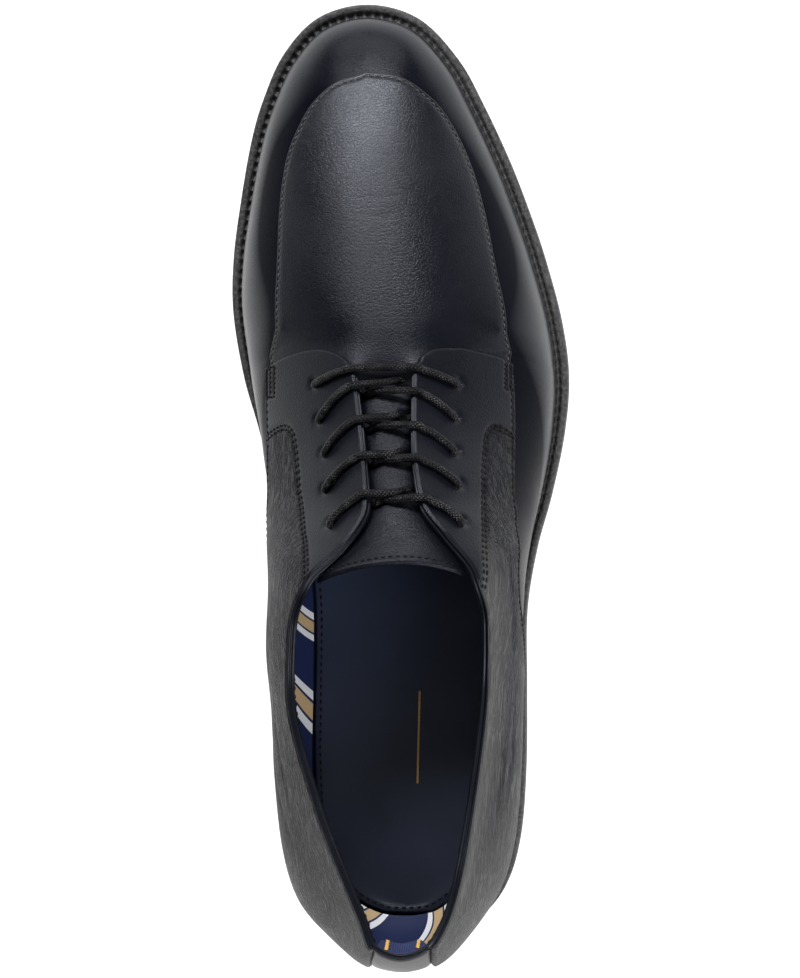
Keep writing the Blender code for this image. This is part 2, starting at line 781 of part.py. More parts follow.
def round_lace(name, route):
    """A lace run as a closed round tube along a smooth curve through its route."""
    route = np.array(route)
    ghost = np.vstack((2 * route[0] - route[1], route, 2 * route[-1] - route[-2]))
    path = []
    steps = 4
    for i in range(1, len(ghost) - 2):
        a, b, c, d = ghost[i - 1:i + 3]
        for t in np.arange(steps) / steps:
            path.append(0.5 * (2 * b + (c - a) * t + (2 * a - 5 * b + 4 * c - d) * t ** 2
                               + (3 * b - a - 3 * c + d) * t ** 3))
    path.append(route[-1])
    curve = bpy.data.curves.new(name, "CURVE")
    curve.dimensions = "3D"
    curve.bevel_depth = LACE_DIAMETER / 2.0 * MM
    curve.bevel_resolution = 2
    curve.use_fill_caps = True
    spline = curve.splines.new("POLY")
    spline.points.add(len(path) - 1)
    for point, place in zip(spline.points, path):
        point.co = (*to_metres(place), 1.0)
    tube = bpy.data.objects.new(name, curve)
    PARTS.objects.link(tube)
    bpy.context.view_layer.update()
    mesh = bpy.data.meshes.new_from_object(tube.evaluated_get(bpy.context.evaluated_depsgraph_get()))
    bpy.data.objects.remove(tube)
    weld(mesh)
    return mesh


def make_laces():
    """Five bars: the first is one run, the others two runs side by side, joined where they meet."""
    for number, row in enumerate(HOLES, start=1):
        hole = Holes(*row)
        name = f"lace_row_{number}"
        if number == 1:
            start = lace_run(-1, hole.inner_x, hole.inner_y, FIRST_BAR)
            end = lace_run(1, hole.outer_x, hole.outer_y, FIRST_BAR)
            middle = across_gap(start[-1], -1, hole.inner_y, FIRST_BAR)[0]
            new_object(name, round_lace(name, [*start, middle, *end[::-1]]), "lace")
            continue
        inner = lace_run(-1, hole.inner_x, hole.inner_y, INNER_RUN)
        inner += across_gap(inner[-1], -1, hole.inner_y, INNER_RUN)
        outer = lace_run(1, hole.outer_x, hole.outer_y, OUTER_RUN)
        outer += across_gap(outer[-1], 1, hole.outer_y, OUTER_RUN)
        piece = new_object(name, round_lace(name, inner), "lace")
        other = bpy.data.objects.new(name + "_run", round_lace(name + "_run", outer))
        CUTTERS.objects.link(other)
        other.hide_render = True
        other.display_type = "WIRE"
        join = piece.modifiers.new("join", "BOOLEAN")
        join.operation = "UNION"
        join.solver = "EXACT"
        join.object = other


def clear_scene():
    for item in list(bpy.data.objects):
        bpy.data.objects.remove(item)


clear_scene()
PARTS = bpy.data.collections.new("dress_shoe")
CUTTERS = bpy.data.collections.new("dress_shoe_cutters")
bpy.context.scene.collection.children.link(PARTS)
bpy.context.scene.collection.children.link(CUTTERS)

upper_grid = Grid()
make_sole()
make_welt()
make_upper(upper_grid)
make_apron(upper_grid)
make_quarter(upper_grid, "quarter_lateral", 1)
make_quarter(upper_grid, "quarter_medial", -1)
make_heel_strip(upper_grid)
make_tongue()
make_pull_tab(upper_grid)
make_laces()
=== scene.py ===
"""Looks of the dress shoe: leather panels, seams, laces, welt, sole, floor, light and camera.

The panels lie on the same ribs as the part's solids. The tables are in millimetres, in a plan whose
middle is ORIGIN. A loop position counts the stations round the sole outline: 0 at the heel back, 19 at
the toe tip on the outer side, and on to 38 along the inner side, so a negative position is the inner
side counted from the heel back.
"""
import math
from collections import namedtuple

import bpy
import numpy as np
from mathutils import Matrix, Vector
from mathutils.bvhtree import BVHTree
from mathutils.kdtree import KDTree


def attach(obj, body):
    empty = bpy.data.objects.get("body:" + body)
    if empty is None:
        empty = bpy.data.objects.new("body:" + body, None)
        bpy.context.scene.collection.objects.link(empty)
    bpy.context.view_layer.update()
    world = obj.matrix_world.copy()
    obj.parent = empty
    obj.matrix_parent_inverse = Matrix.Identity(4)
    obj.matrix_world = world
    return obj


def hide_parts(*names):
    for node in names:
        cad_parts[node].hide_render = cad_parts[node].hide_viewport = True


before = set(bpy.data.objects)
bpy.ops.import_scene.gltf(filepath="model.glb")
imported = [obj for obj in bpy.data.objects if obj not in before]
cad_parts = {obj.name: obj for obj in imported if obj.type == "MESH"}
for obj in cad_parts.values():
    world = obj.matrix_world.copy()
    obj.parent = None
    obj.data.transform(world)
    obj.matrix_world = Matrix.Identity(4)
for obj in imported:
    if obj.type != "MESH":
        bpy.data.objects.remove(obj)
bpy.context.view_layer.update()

MM = 0.001
UP = np.array((0.0, 0.0, 1.0))
ORIGIN = np.array((-0.98, 0.95, 0.0))

# Layers, as in the part's solids
GAP = 0.3
OUTSOLE_THICK = 6.0
WELT_THICK = 3.2
WALL = 1.8
APRON_TOP = 1.2
QUARTER_TOP = 2.0
STRIP_TOP = 1.1
TONGUE_THICK = 2.0
TONGUE_CLEAR = 0.6
TUCK_CLEAR = 1.3
THROAT_CLEAR = 2.8
HEEL_INSET = 1.2
HEEL_BREAST = 5.25

# Sole outline, one row for each station from the heel back to the toe tip
Outline = namedtuple("Outline", "outer_x outer_y inner_x inner_y")
OUTLINE = (
    (4.0, -149.0, 4.0, -149.0),
    (16.0, -146.5, -8.0, -147.0),
    (25.8, -138.5, -19.5, -139.5),
    (34.5, -127.5, -28.5, -128.5),
    (39.0, -112.0, -33.0, -113.0),
    (40.7, -90.0, -34.5, -90.0),
    (40.7, -65.0, -34.5, -65.0),
    (40.5, -41.0, -35.0, -40.0),
    (43.5, -21.0, -37.5, -20.0),
    (48.0, -4.0, -41.5, -2.0),
    (52.0, 16.0, -46.5, 17.0),
    (53.3, 34.0, -51.5, 34.0),
    (51.0, 52.0, -55.0, 55.0),
    (46.0, 71.0, -54.8, 73.0),
    (41.0, 86.0, -52.3, 91.0),
    (34.5, 103.0, -48.8, 109.0),
    (26.2, 121.0, -44.6, 122.5),
    (18.2, 135.5, -37.5, 137.0),
    (6.0, 147.8, -26.0, 148.3),
    (-10.0, 152.2, -10.0, 152.2),
)
TOE = len(OUTLINE) - 1
LOOP = 2 * TOE

# Height of the welt's top along the shoe: heel seat, arch, flat ball and toe spring
Profile = namedtuple("Profile", "y welt_top")
PROFILE = (
    (-150.0, 29.0),
    (-95.0, 28.6),
    (-70.0, 26.0),
    (-40.0, 19.8),
    (-10.0, 13.6),
    (15.0, 10.6),
    (36.0, 9.5),
    (76.0, 9.5),
    (100.0, 11.3),
    (125.0, 15.3),
    (152.0, 21.5),
)

# Ribs of the rear half, each from the feather line up to the collar or the facing edge
Rear = namedtuple("Rear", "position extension bulge rise top_x top_y top_z slope reach bow")
REAR = (
    (-11.0, 4.2, 5.5, 20.0, -9.4, 37.5, 65.0, 31.0, 24.0, 15.0),
    (-10.0, 3.8, 9.0, 21.0, -5.5, 13.0, 74.5, 37.0, 27.0, 4.0),
    (-9.2, 3.4, 11.5, 22.0, -3.2, -6.0, 85.5, 41.0, 27.0, 0.0),
    (-8.6, 3.2, 10.5, 22.0, -10.5, -19.0, 89.0, 45.0, 27.0, 0.0),
    (-8.0, 3.0, 8.5, 22.0, -20.4, -28.6, 88.6, 50.0, 27.0, 0.0),
    (-7.0, 3.0, 6.5, 22.0, -26.3, -43.0, 82.0, 56.0, 26.0, 0.0),
    (-6.0, 3.0, 6.5, 22.0, -27.6, -62.0, 77.0, 62.0, 25.0, 0.0),
    (-4.5, 3.0, 8.5, 22.0, -19.3, -95.0, 81.3, 64.0, 25.0, 0.0),
    (-3.0, 2.8, 9.5, 23.0, -9.5, -118.5, 87.3, 66.0, 25.0, 0.0),
    (-2.0, 2.6, 7.0, 24.0, -4.5, -129.5, 89.5, 66.0, 26.0, 0.0),
    (-1.0, 2.5, 5.0, 24.0, -0.5, -138.5, 91.0, 66.0, 26.0, 0.0),
    (0.0, 2.5, 4.5, 24.0, 7.0, -141.2, 91.0, 66.0, 26.0, 0.0),
    (1.0, 3.0, 2.5, 24.0, 14.5, -138.5, 91.0, 66.0, 26.0, 0.0),
    (2.0, 3.5, 1.5, 24.0, 19.5, -131.0, 89.5, 66.0, 26.0, 0.0),
    (3.0, 3.8, 2.5, 23.0, 23.0, -120.0, 87.0, 67.0, 25.0, 0.0),
    (4.5, 3.8, 3.5, 22.0, 26.7, -98.0, 80.5, 68.0, 24.0, 0.0),
    (6.0, 3.6, 4.0, 22.0, 30.8, -62.0, 76.0, 66.0, 23.0, 0.0),
    (7.0, 3.4, 5.0, 22.0, 31.5, -42.0, 81.0, 58.0, 25.0, 0.0),
    (8.0, 3.4, 4.5, 22.0, 28.4, -26.5, 88.5, 50.0, 27.0, 0.0),
    (8.6, 3.5, 4.5, 22.0, 20.0, -15.5, 88.5, 45.0, 27.0, 0.0),
    (9.2, 3.6, 4.5, 22.0, 12.3, -5.0, 85.3, 40.0, 27.0, 0.0),
    (10.0, 4.0, 4.0, 21.0, 8.8, 15.0, 74.0, 36.0, 27.0, 4.0),
    (11.0, 4.3, 3.5, 20.0, 8.3, 37.0, 65.0, 30.0, 24.0, 15.0),
)
THROAT = REAR[-1][0]
FACING_TOP = 9.2
BOW_DROP = 0.35

# Ribs of the vamp, from the outer side round the toe to the inner side
Front = namedtuple("Front", "position extension bulge rise reach bow")
FRONT = (
    (11.5, 4.4, 3.5, 20.0, 24.0, 14.0),
    (13.0, 4.4, 3.0, 20.0, 22.0, 5.0),
    (15.0, 4.3, 2.5, 18.0, 21.0, 0.0),
    (17.0, 4.3, 2.3, 15.0, 23.0, 0.0),
    (19.0, 4.5, 2.0, 13.0, 28.0, 0.0),
    (21.0, 4.8, 2.3, 15.0, 24.0, 0.0),
    (23.0, 4.6, 3.0, 19.0, 23.0, 0.0),
    (25.0, 4.4, 3.5, 21.0, 24.0, 5.0),
    (26.5, 4.3, 4.5, 21.0, 25.0, 14.0),
)
VAMP_START, VAMP_END = FRONT[0][0], FRONT[-1][0]

# Ridge of the vamp, from the throat to the pole where the toe ribs meet
Ridge = namedtuple("Ridge", "station x y z")
RIDGE = (
    (11.5, -0.3, 41.5, 63.7),
    (14.0, -2.6, 62.0, 58.6),
    (16.5, -4.8, 83.0, 53.4),
    (19.0, -6.5, 98.0, 49.6),
)

# Fraction of each rib at the apron seam
APRON_SEAM = (
    (10.9, 0.53), (11.5, 0.48), (12.1, 0.464), (12.72, 0.452), (13.4, 0.434), (14.2, 0.404), (14.84, 0.38),
    (15.4, 0.367), (15.9, 0.371), (16.4, 0.393), (17.0, 0.434), (17.5, 0.471), (18.0, 0.514), (18.5, 0.559),
    (18.85, 0.587), (19.15, 0.594), (19.45, 0.578), (19.85, 0.547), (20.3, 0.519), (20.8, 0.491),
    (21.3, 0.471), (21.8, 0.456), (22.3, 0.442), (22.8, 0.436), (23.4, 0.444), (24.0, 0.464),
    (24.66, 0.488), (25.32, 0.5), (26.12, 0.497), (26.72, 0.488), (27.1, 0.482),
)
# Fraction of each rib at a quarter's lower seam, which runs down to the sole at its rear end
QUARTER_SEAM = (
    (-11.0, 0.46), (-10.42, 0.428), (-9.84, 0.396), (-9.26, 0.345), (-8.54, 0.31), (-7.9, 0.3),
    (-7.4, 0.27), (-7.1, 0.22), (-6.8, 0.13), (-6.5, 0.0), (6.35, 0.0), (6.45, 0.12), (6.6, 0.3),
    (6.75, 0.45), (6.9, 0.56), (7.1, 0.65), (7.4, 0.69), (7.92, 0.67), (8.4, 0.6), (9.0, 0.52),
    (9.9, 0.508), (10.38, 0.52), (11.0, 0.528),
)
SEAM_FOOT = 6.5
# Loop position of the quarters' front edges and of the heel strip's edges, by fraction of the rib
FRONT_EDGE = {
    -1: ((0.4, 10.82), (0.464, 10.84), (0.516, 10.86), (0.612, 10.9), (0.708, 10.94), (0.84, 11.0),
         (0.96, 11.0), (0.985, 10.98), (1.0, 10.94)),
    1: ((0.4, 10.74), (0.528, 10.84), (0.572, 10.89), (0.7, 10.94), (0.796, 11.0), (0.86, 11.1),
        (0.908, 11.12), (0.944, 11.08), (0.98, 11.02), (1.0, 10.95)),
}
REAR_EDGE = {
    -1: ((0.0, 0.65), (0.5, 0.72), (0.75, 0.8), (0.89, 0.87), (1.0, 1.04)),
    1: ((0.0, 0.75), (0.5, 0.85), (0.77, 0.96), (0.89, 1.08), (1.0, 1.2)),
}
STRIP_EDGE = 1.1
COLLAR_FRONT = 8.2

# Lace holes in plan, a row for each bar from the toe up
Holes = namedtuple("Holes", "inner_x inner_y outer_x outer_y")
HOLES = (
    (-22.0, 30.8, 21.1, 30.7),
    (-20.3, 19.8, 20.6, 20.3),
    (-18.0, 9.4, 21.1, 9.8),
    (-17.2, -1.4, 22.7, 0.0),
    (-14.8, -12.0, 24.3, -11.3),
)

# The lace is thinner than the part's solid bars, which stand for it
LACE_DIAMETER = 2.35
# Lace runs: how far each place lies toward the toe from its hole, and its lift over the gap
Run = namedtuple("Run", "edge middle far_side middle_lift far_lift")
INNER_RUN = Run(10.1, 11.6, 12.1, 0.5, -2.4)
OUTER_RUN = Run(7.6, 8.6, 8.3, -0.8, -3.0)
FIRST_BAR = Run(4.3, 5.3, 4.3, 0.6, 0.0)
RUN_SHARES = (1.0, 1.0, 1.0, 0.95, 0.87)
RUN_CURVE = 1.5
FAR_SHARE = 0.72

# Camera in the plan of the tables: the photograph's viewpoint, aim and scale
CAMERA = np.array((105.0, 18.0, 1150.0))
AIM = np.array((0.2, -2.0, 20.0))
MM_PER_PIXEL = 0.319
IMAGE_HEIGHT = 978
SENSOR = 36.0

# Offsets of the fine rows beside a panel's edge, and the width of its rounding
EDGE = (0.0, 0.06, 0.16, 0.3, 0.5, 0.8, 1.2, 1.7)
EDGE_ROUND = 0.9

# Threads of a row of stitches: their spacing, length and width
Stitch = namedtuple("Stitch", "pitch length width")
PANEL_STITCH = Stitch(2.2, 1.7, 0.6)
QUARTER_STITCH = Stitch(2.2, 1.76, 0.75)
BAR_STITCH = Stitch(1.5, 1.2, 0.75)
COLLAR_STITCH = Stitch(2.6, 1.9, 0.55)
SOCK_STITCH = Stitch(2.4, 1.8, 0.6)
STITCH_RISE = 0.12

# Soft troughs in the leather: their depth and width, and whether they fade toward their ends
APRON_GROOVE = (0.28, 0.55, False)
APRON_CREASE = (0.03, 0.9, True)
QUARTER_GROOVE = (0.32, 0.6, False)
QUARTER_CREASE = (0.35, 1.6, True)
LACE_PIT = (1.0, 1.5, False)

# Steps of fine paths: along edges, along stitch rows, and along creases
EDGE_STEP = 0.15
ROW_STEP = 0.25
CREASE_STEP = 0.4


# Reading the tables

def slopes_of(place, value):
    """Slopes of a monotone cubic through the points of one table column."""
    step = np.diff(place)
    secant = np.diff(value) / step
    slope = np.zeros(len(place))
    slope[0] = secant[0]
    slope[-1] = secant[-1]
    for i in range(1, len(place) - 1):
        if secant[i - 1] * secant[i] > 0.0:
            before = 2.0 * step[i] + step[i - 1]
            after = step[i] + 2.0 * step[i - 1]
            slope[i] = (before + after) / (before / secant[i - 1] + after / secant[i])
    return slope


def reader(row_type, rows):
    """A function that reads a whole row smoothly at a place in the table's first column."""
    data = np.array(rows)
    place = data[:, 0]
    slopes = [slopes_of(place, data[:, k]) for k in range(1, data.shape[1])]

    def read(at):
        i = int(np.clip(np.searchsorted(place, at) - 1, 0, len(place) - 2))
        step = place[i + 1] - place[i]
        t = min(max((at - place[i]) / step, 0.0), 1.0)
        start = (1.0 + 2.0 * t) * (1.0 - t) ** 2
        end = t * t * (3.0 - 2.0 * t)
        leave = t * (1.0 - t) ** 2 * step
        arrive = t * t * (t - 1.0) * step
        values = [start * data[i, k] + end * data[i + 1, k] + leave * slope[i] + arrive * slope[i + 1]
                  for k, slope in enumerate(slopes, start=1)]
        return row_type(at, *values)

    return read


read_profile = reader(Profile, PROFILE)
read_rear = reader(Rear, REAR)
read_front = reader(Front, FRONT)
read_ridge = reader(Ridge, RIDGE)


def unit(vectors):
    """Vectors scaled to a length of one."""
    return vectors / np.maximum(np.linalg.norm(vectors, axis=-1, keepdims=True), 1e-9)


def columns_at(places, known, table):
    """Rows of a table read at places between its known places."""
    return np.column_stack([np.interp(places, known, column) for column in table.T])


def spline(a, b, c, d, t):
    """Point and direction between the middle two of four points, on a smooth curve through them."""
    square = 2 * a - 5 * b + 4 * c - d
    cube = 3 * b - a - 3 * c + d
    point = 0.5 * (2 * b + (c - a) * t + square * t ** 2 + cube * t ** 3)
    along = 0.5 * ((c - a) + 2 * square * t + 3 * cube * t ** 2)
    return point, along


def cubic(controls, fractions):
    """Points on cubic curves, whose four control points are on the last axis but one."""
    t = fractions[..., None]
    a, b, c, d = np.moveaxis(controls, -2, 0)
    return (1 - t) ** 3 * a + 3 * t * (1 - t) ** 2 * b + 3 * t * t * (1 - t) * c + t ** 3 * d


def outline_points():
    """The closed sole outline, one point for each loop position."""
    rows = [Outline(*row) for row in OUTLINE]
    outer = [(row.outer_x, row.outer_y) for row in rows]
    inner = [(row.inner_x, row.inner_y) for row in rows[TOE - 1:0:-1]]
    return np.array(outer + inner)


LOOP_POINTS = outline_points()


def outline(position):
    """Point of the sole outline and its outward direction, both in plan."""
    base = math.floor(position)
    around = [LOOP_POINTS[(base + k) % LOOP] for k in (-1, 0, 1, 2)]
    point, along = spline(*around, position - base)
    outward = np.array((along[1], -along[0])) / np.hypot(*along)
    return point, outward


def welt_top(y):
    return read_profile(y).welt_top


def signed(positions):
    """Loop positions counted from the heel back, on the inner side of the rear half below zero."""
    return positions - LOOP * (positions > LOOP - THROAT)


def extension(position):
    """How far the welt stands out beyond the upper at a loop position."""
    position = signed(position % LOOP)
    if position <= THROAT:
        return read_rear(position).extension
    return read_front(position).extension


def ridge(position):
    """Point of the vamp's ridge and its fall towards the toe."""
    station = min(position, LOOP - position)
    probe = 0.1
    here = read_ridge(station)
    near = read_ridge(station - probe)
    far = read_ridge(station + probe)
    fall = (far.z - near.z) / (far.y - near.y)
    return np.array((here.x, here.y, here.z)), fall


def plain_rib(position):
    """The four control points of the rib at a loop position, feather line first."""
    sole, outward = outline(position)
    if position <= THROAT:
        row = read_rear(position)
        top = np.array((row.top_x, row.top_y, row.top_z))
        angle = math.radians(row.slope)
        fall = 0.0
        drop = BOW_DROP
    else:
        row = read_front(position)
        top, fall = ridge(position)
        angle = 0.0
        drop = -fall
    plan = sole - outward * row.extension
    foot = np.array((plan[0], plan[1], welt_top(plan[1]) + GAP))
    flat = unit((foot - top) * (1.0, 1.0, 0.0))
    lean = flat * math.cos(angle) + UP * (fall * flat[1] * math.cos(angle) - math.sin(angle))
    low = foot + np.array((outward[0], outward[1], 0.0)) * row.bulge + UP * row.rise
    high = top + lean * row.reach + np.array((0.0, 1.0, -drop)) * row.bow
    return np.array((foot, low, high, top))


def rib(position):
    """A rib, with those between the last quarter rib and the first vamp rib blended."""
    position = signed(position)
    if THROAT < position < VAMP_START:
        share = (position - THROAT) / (VAMP_START - THROAT)
        return plain_rib(THROAT) * (1.0 - share) + plain_rib(VAMP_START) * share
    if position > VAMP_END:
        share = (position - VAMP_END) / (LOOP - THROAT - VAMP_END)
        return plain_rib(VAMP_END) * (1.0 - share) + plain_rib(-THROAT) * share
    return plain_rib(position)


RIB_STEP = 0.02
RIB_PLACES = np.arange(-THROAT, LOOP - THROAT + RIB_STEP / 2.0, RIB_STEP)
RIB_TABLE = np.array([rib(p) for p in RIB_PLACES]).reshape(len(RIB_PLACES), 12)


def ribs(positions):
    """Control points of the ribs at loop positions, in an array of any shape."""
    positions = np.asarray(positions, dtype=float)
    values = columns_at(signed(positions).reshape(-1), RIB_PLACES, RIB_TABLE)
    return values.reshape(*positions.shape, 4, 3)


def on_upper(positions, fractions):
    """Points of the upper's surface at loop positions and fractions of the ribs."""
    positions, fractions = np.broadcast_arrays(np.asarray(positions, dtype=float), fractions)
    return cubic(ribs(positions), fractions)


def softened(rows, spread, step=0.02):
    """A table of two columns as a function of its first, its corners rounded off."""
    place, value = np.array(rows).T
    dense = np.arange(place[0], place[-1] + step, step)
    reach = int(3.0 * spread / step)
    weights = np.exp(-0.5 * (np.arange(-reach, reach + 1) * step / spread) ** 2)
    padded = np.pad(np.interp(dense, place, value), reach, mode="reflect", reflect_type="odd")
    smooth = np.convolve(padded, weights / weights.sum(), mode="valid")
    return lambda at: np.interp(at, dense, smooth)


apron_seam = softened(APRON_SEAM, 0.14)
quarter_seam = softened(QUARTER_SEAM, 0.12)
front_edge = {side: softened(rows, 0.03, 0.005) for side, rows in FRONT_EDGE.items()}
rear_edge = {side: softened(rows, 0.05, 0.005) for side, rows in REAR_EDGE.items()}


def quarter_low(positions):
    """Fractions of the quarters' lower edges: the seam in front, the feather line behind."""
    positions = np.asarray(positions, dtype=float)
    return np.where(np.abs(positions) > SEAM_FOOT - 0.05, np.maximum(quarter_seam(positions), 0.0), 0.0)


def wall_high(positions):
    """Fractions up to which the vamp's wall reaches, a little way under the panels over it."""
    positions = np.asarray(positions, dtype=float)
    behind = signed(positions)
    overlap = 0.05
    nearby = np.linspace(-0.4, 0.4, 17)
    around = np.max([quarter_seam(behind + offset) for offset in nearby], axis=0)
    return np.where(np.abs(behind) < THROAT, np.maximum(around, 0.0), apron_seam(behind)) + overlap


# Paths and grids

def to_metres(points):
    """Points of the tables' frame in the part's frame."""
    return (np.asarray(points, dtype=float) - ORIGIN) * MM


def travelled(path):
    """Distance along a path at each of its points."""
    steps = np.linalg.norm(np.diff(path, axis=0), axis=1)
    return np.concatenate(((0.0,), np.cumsum(steps)))


def along_path(path, places):
    """Points at distances along a path."""
    return columns_at(places, travelled(path), path)


def even_path(path, step):
    """A path resampled at about even steps."""
    total = travelled(path)[-1]
    return along_path(path, np.linspace(0.0, total, max(int(round(total / step)), 2) + 1))


def smooth_path(route, steps=8):
    """A smooth curve through a few points."""
    route = np.array(route, dtype=float)
    ghost = np.vstack((2 * route[0] - route[1], route, 2 * route[-1] - route[-2]))
    path = []
    for i in range(1, len(ghost) - 2):
        path.extend(spline(*ghost[i - 1:i + 3], t)[0] for t in np.arange(steps) / steps)
    path.append(route[-1])
    return np.array(path)


def spaced(length, count, near=(0.0,), far=(0.0,)):
    """Places along a length: fine offsets at its ends and even steps between."""
    middle = np.linspace(near[-1], length - far[-1], count + 1)
    return np.concatenate((near[:-1], middle, length - np.array(far[:-1])[::-1]))


def column_places(start, end, step, near=(0.0,), far=(0.0,)):
    """Loop positions about a step apart, finer beside the ends."""
    dense = np.linspace(start, end, 500)
    level = 0.6
    length = travelled(on_upper(dense, level))
    return np.interp(spaced(length[-1], int(round(length[-1] / step)), near, far), length, dense)


def row_fractions(controls, low, high, count, near=(0.0,), far=(0.0,)):
    """Fractions of each rib between two limits, evenly spaced in length, finer beside the ends."""
    dense = np.linspace(0.0, 1.0, 101)
    paths = cubic(controls[:, None], dense[None])
    rows = []
    for path, start, end in zip(paths, low, high):
        length = travelled(path)
        first = np.interp(start, dense, length)
        last = np.interp(end, dense, length)
        rows.append(np.interp(first + spaced(last - first, count, near, far), length, dense))
    return np.array(rows)


class Sheet:
    """One surface from grids of points: coinciding points merged, faces turned one way, point normals."""

    def __init__(self, *grids):
        flat = np.concatenate([grid.reshape(-1, 3) for grid in grids])
        _, self.first, index = np.unique(np.round(flat, 2), axis=0, return_index=True, return_inverse=True)
        index = index.reshape(-1)
        self.points = flat[self.first]
        corners = []
        start = 0
        for grid in grids:
            columns, rows = grid.shape[:2]
            own = index[start:start + columns * rows].reshape(columns, rows)
            start += columns * rows
            around = (own[:-1, :-1], own[1:, :-1], own[1:, 1:], own[:-1, 1:])
            corners.append(np.stack(around, axis=-1).reshape(-1, 4))
        corners = np.concatenate(corners)
        self.faces = [face for face in map(self.without_repeats, corners.tolist()) if len(face) > 2]
        self.normals = self.point_normals(corners)

    @staticmethod
    def without_repeats(face):
        return [corner for k, corner in enumerate(face) if corner not in face[:k]]

    def point_normals(self, corners):
        place = self.points[corners]
        face = np.cross(place[:, 2] - place[:, 0], place[:, 3] - place[:, 1])
        total = np.zeros_like(self.points)
        for k in range(4):
            np.add.at(total, corners[:, k], face)
        return unit(total)

    def own(self, values):
        """Values of a grid, one for each merged point."""
        return np.asarray(values).reshape(-1)[self.first]

    def lifted(self, heights):
        return self.points + self.normals * np.asarray(heights).reshape(-1, 1)


def point_tree(points):
    """A tree that finds the nearest of the points."""
    tree = KDTree(len(points))
    for i, place in enumerate(points):
        tree.insert(place, i)
    tree.balance()
    return tree


def distance_to(points, path):
    """Distance of each point from a path, and how far along the path the nearest place is, from 0 to 1."""
    tree = point_tree(path)
    found = [tree.find(point) for point in points]
    share = np.array([hit[1] for hit in found]) / max(len(path) - 1, 1)
    return np.array([hit[2] for hit in found]), share


Trough = namedtuple("Trough", "path depth width fades")


def relief(points, troughs):
    """Heights of soft troughs, or ridges where the depth is below zero, along paths."""
    total = np.zeros(len(points))
    for trough in troughs:
        reach = 3.0 * trough.width
        low = trough.path.min(axis=0) - reach
        high = trough.path.max(axis=0) + reach
        near = np.flatnonzero(((points > low) & (points < high)).all(axis=1))
        if len(near) == 0:
            continue
        far, share = distance_to(points[near], trough.path)
        shape = np.exp(-(far / trough.width) ** 2)
        if trough.fades:
            shape *= np.sin(math.pi * share) ** 0.7
        total[near] -= trough.depth * shape
    return total


def tree_of(points, faces):
    return BVHTree.FromPolygons([Vector(p) for p in points], faces)


def drop(surface, plan):
    """Points and normals of a surface straight below places in plan."""
    places = []
    normals = []
    for x, y in np.asarray(plan, dtype=float)[:, 0:2]:
        place, normal, _, _ = surface.ray_cast(Vector((x, y, 200.0)), Vector((0.0, 0.0, -1.0)))
        if place is not None:
            places.append(place)
            normals.append(normal)
    return np.array(places), np.array(normals)


def onto(surface, points, normals):
    """Points moved along their normals on to a surface, with the surface's own normals."""
    reach = 6.0
    places = []
    turned = []
    for point, normal in zip(points, normals):
        start = Vector(point + normal * reach)
        place, face, _, _ = surface.ray_cast(start, Vector(-normal), 2.0 * reach)
        if place is None:
            place, face, _, _ = surface.find_nearest(Vector(point))
        places.append(place)
        turned.append(face)
    return np.array(places), np.array(turned)


# Making pieces

def add_object(name, data):
    """Add an object to the scene."""
    made = bpy.data.objects.new(name, data)
    bpy.context.scene.collection.objects.link(made)
    return made


def add_piece(name, points, faces, materials, nodes=(), uv=None, zones=None):
    """Add a mesh in millimetres as a piece of the shoe; the zones pick a material for each face."""
    mesh = bpy.data.meshes.new(name)
    mesh.from_pydata(to_metres(points).tolist(), [], faces)
    for material in materials:
        mesh.materials.append(material)
    if zones is not None:
        mesh.polygons.foreach_set("material_index", zones)
    mesh.shade_smooth()
    if uv is not None:
        layer = mesh.uv_layers.new(name="UVMap")
        corner = np.empty(len(mesh.loops), dtype=np.int32)
        mesh.loops.foreach_get("vertex_index", corner)
        layer.data.foreach_set("uv", np.asarray(uv)[corner].reshape(-1))
    piece = add_object(name, mesh)
    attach(piece, "root")
    if nodes:
        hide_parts(*nodes)


def rounded(far, width):
    """Share of the full height at a distance from a rounded edge."""
    return np.sqrt(1.0 - (1.0 - np.clip(far / width, 0.0, 1.0)) ** 2)


def grid_faces(count, columns, rows, wraps):
    """Quads of many equal grids of points, closed across the rows where they wrap."""
    column = np.arange(columns - 1)[:, None]
    row = np.arange(rows if wraps else rows - 1)[None, :]
    after = (row + 1) % rows
    quads = np.stack((column * rows + row, (column + 1) * rows + row,
                      (column + 1) * rows + after, column * rows + after), axis=-1).reshape(-1, 4)
    return (np.arange(count)[:, None, None] * columns * rows + quads[None]).reshape(-1, 4).tolist()


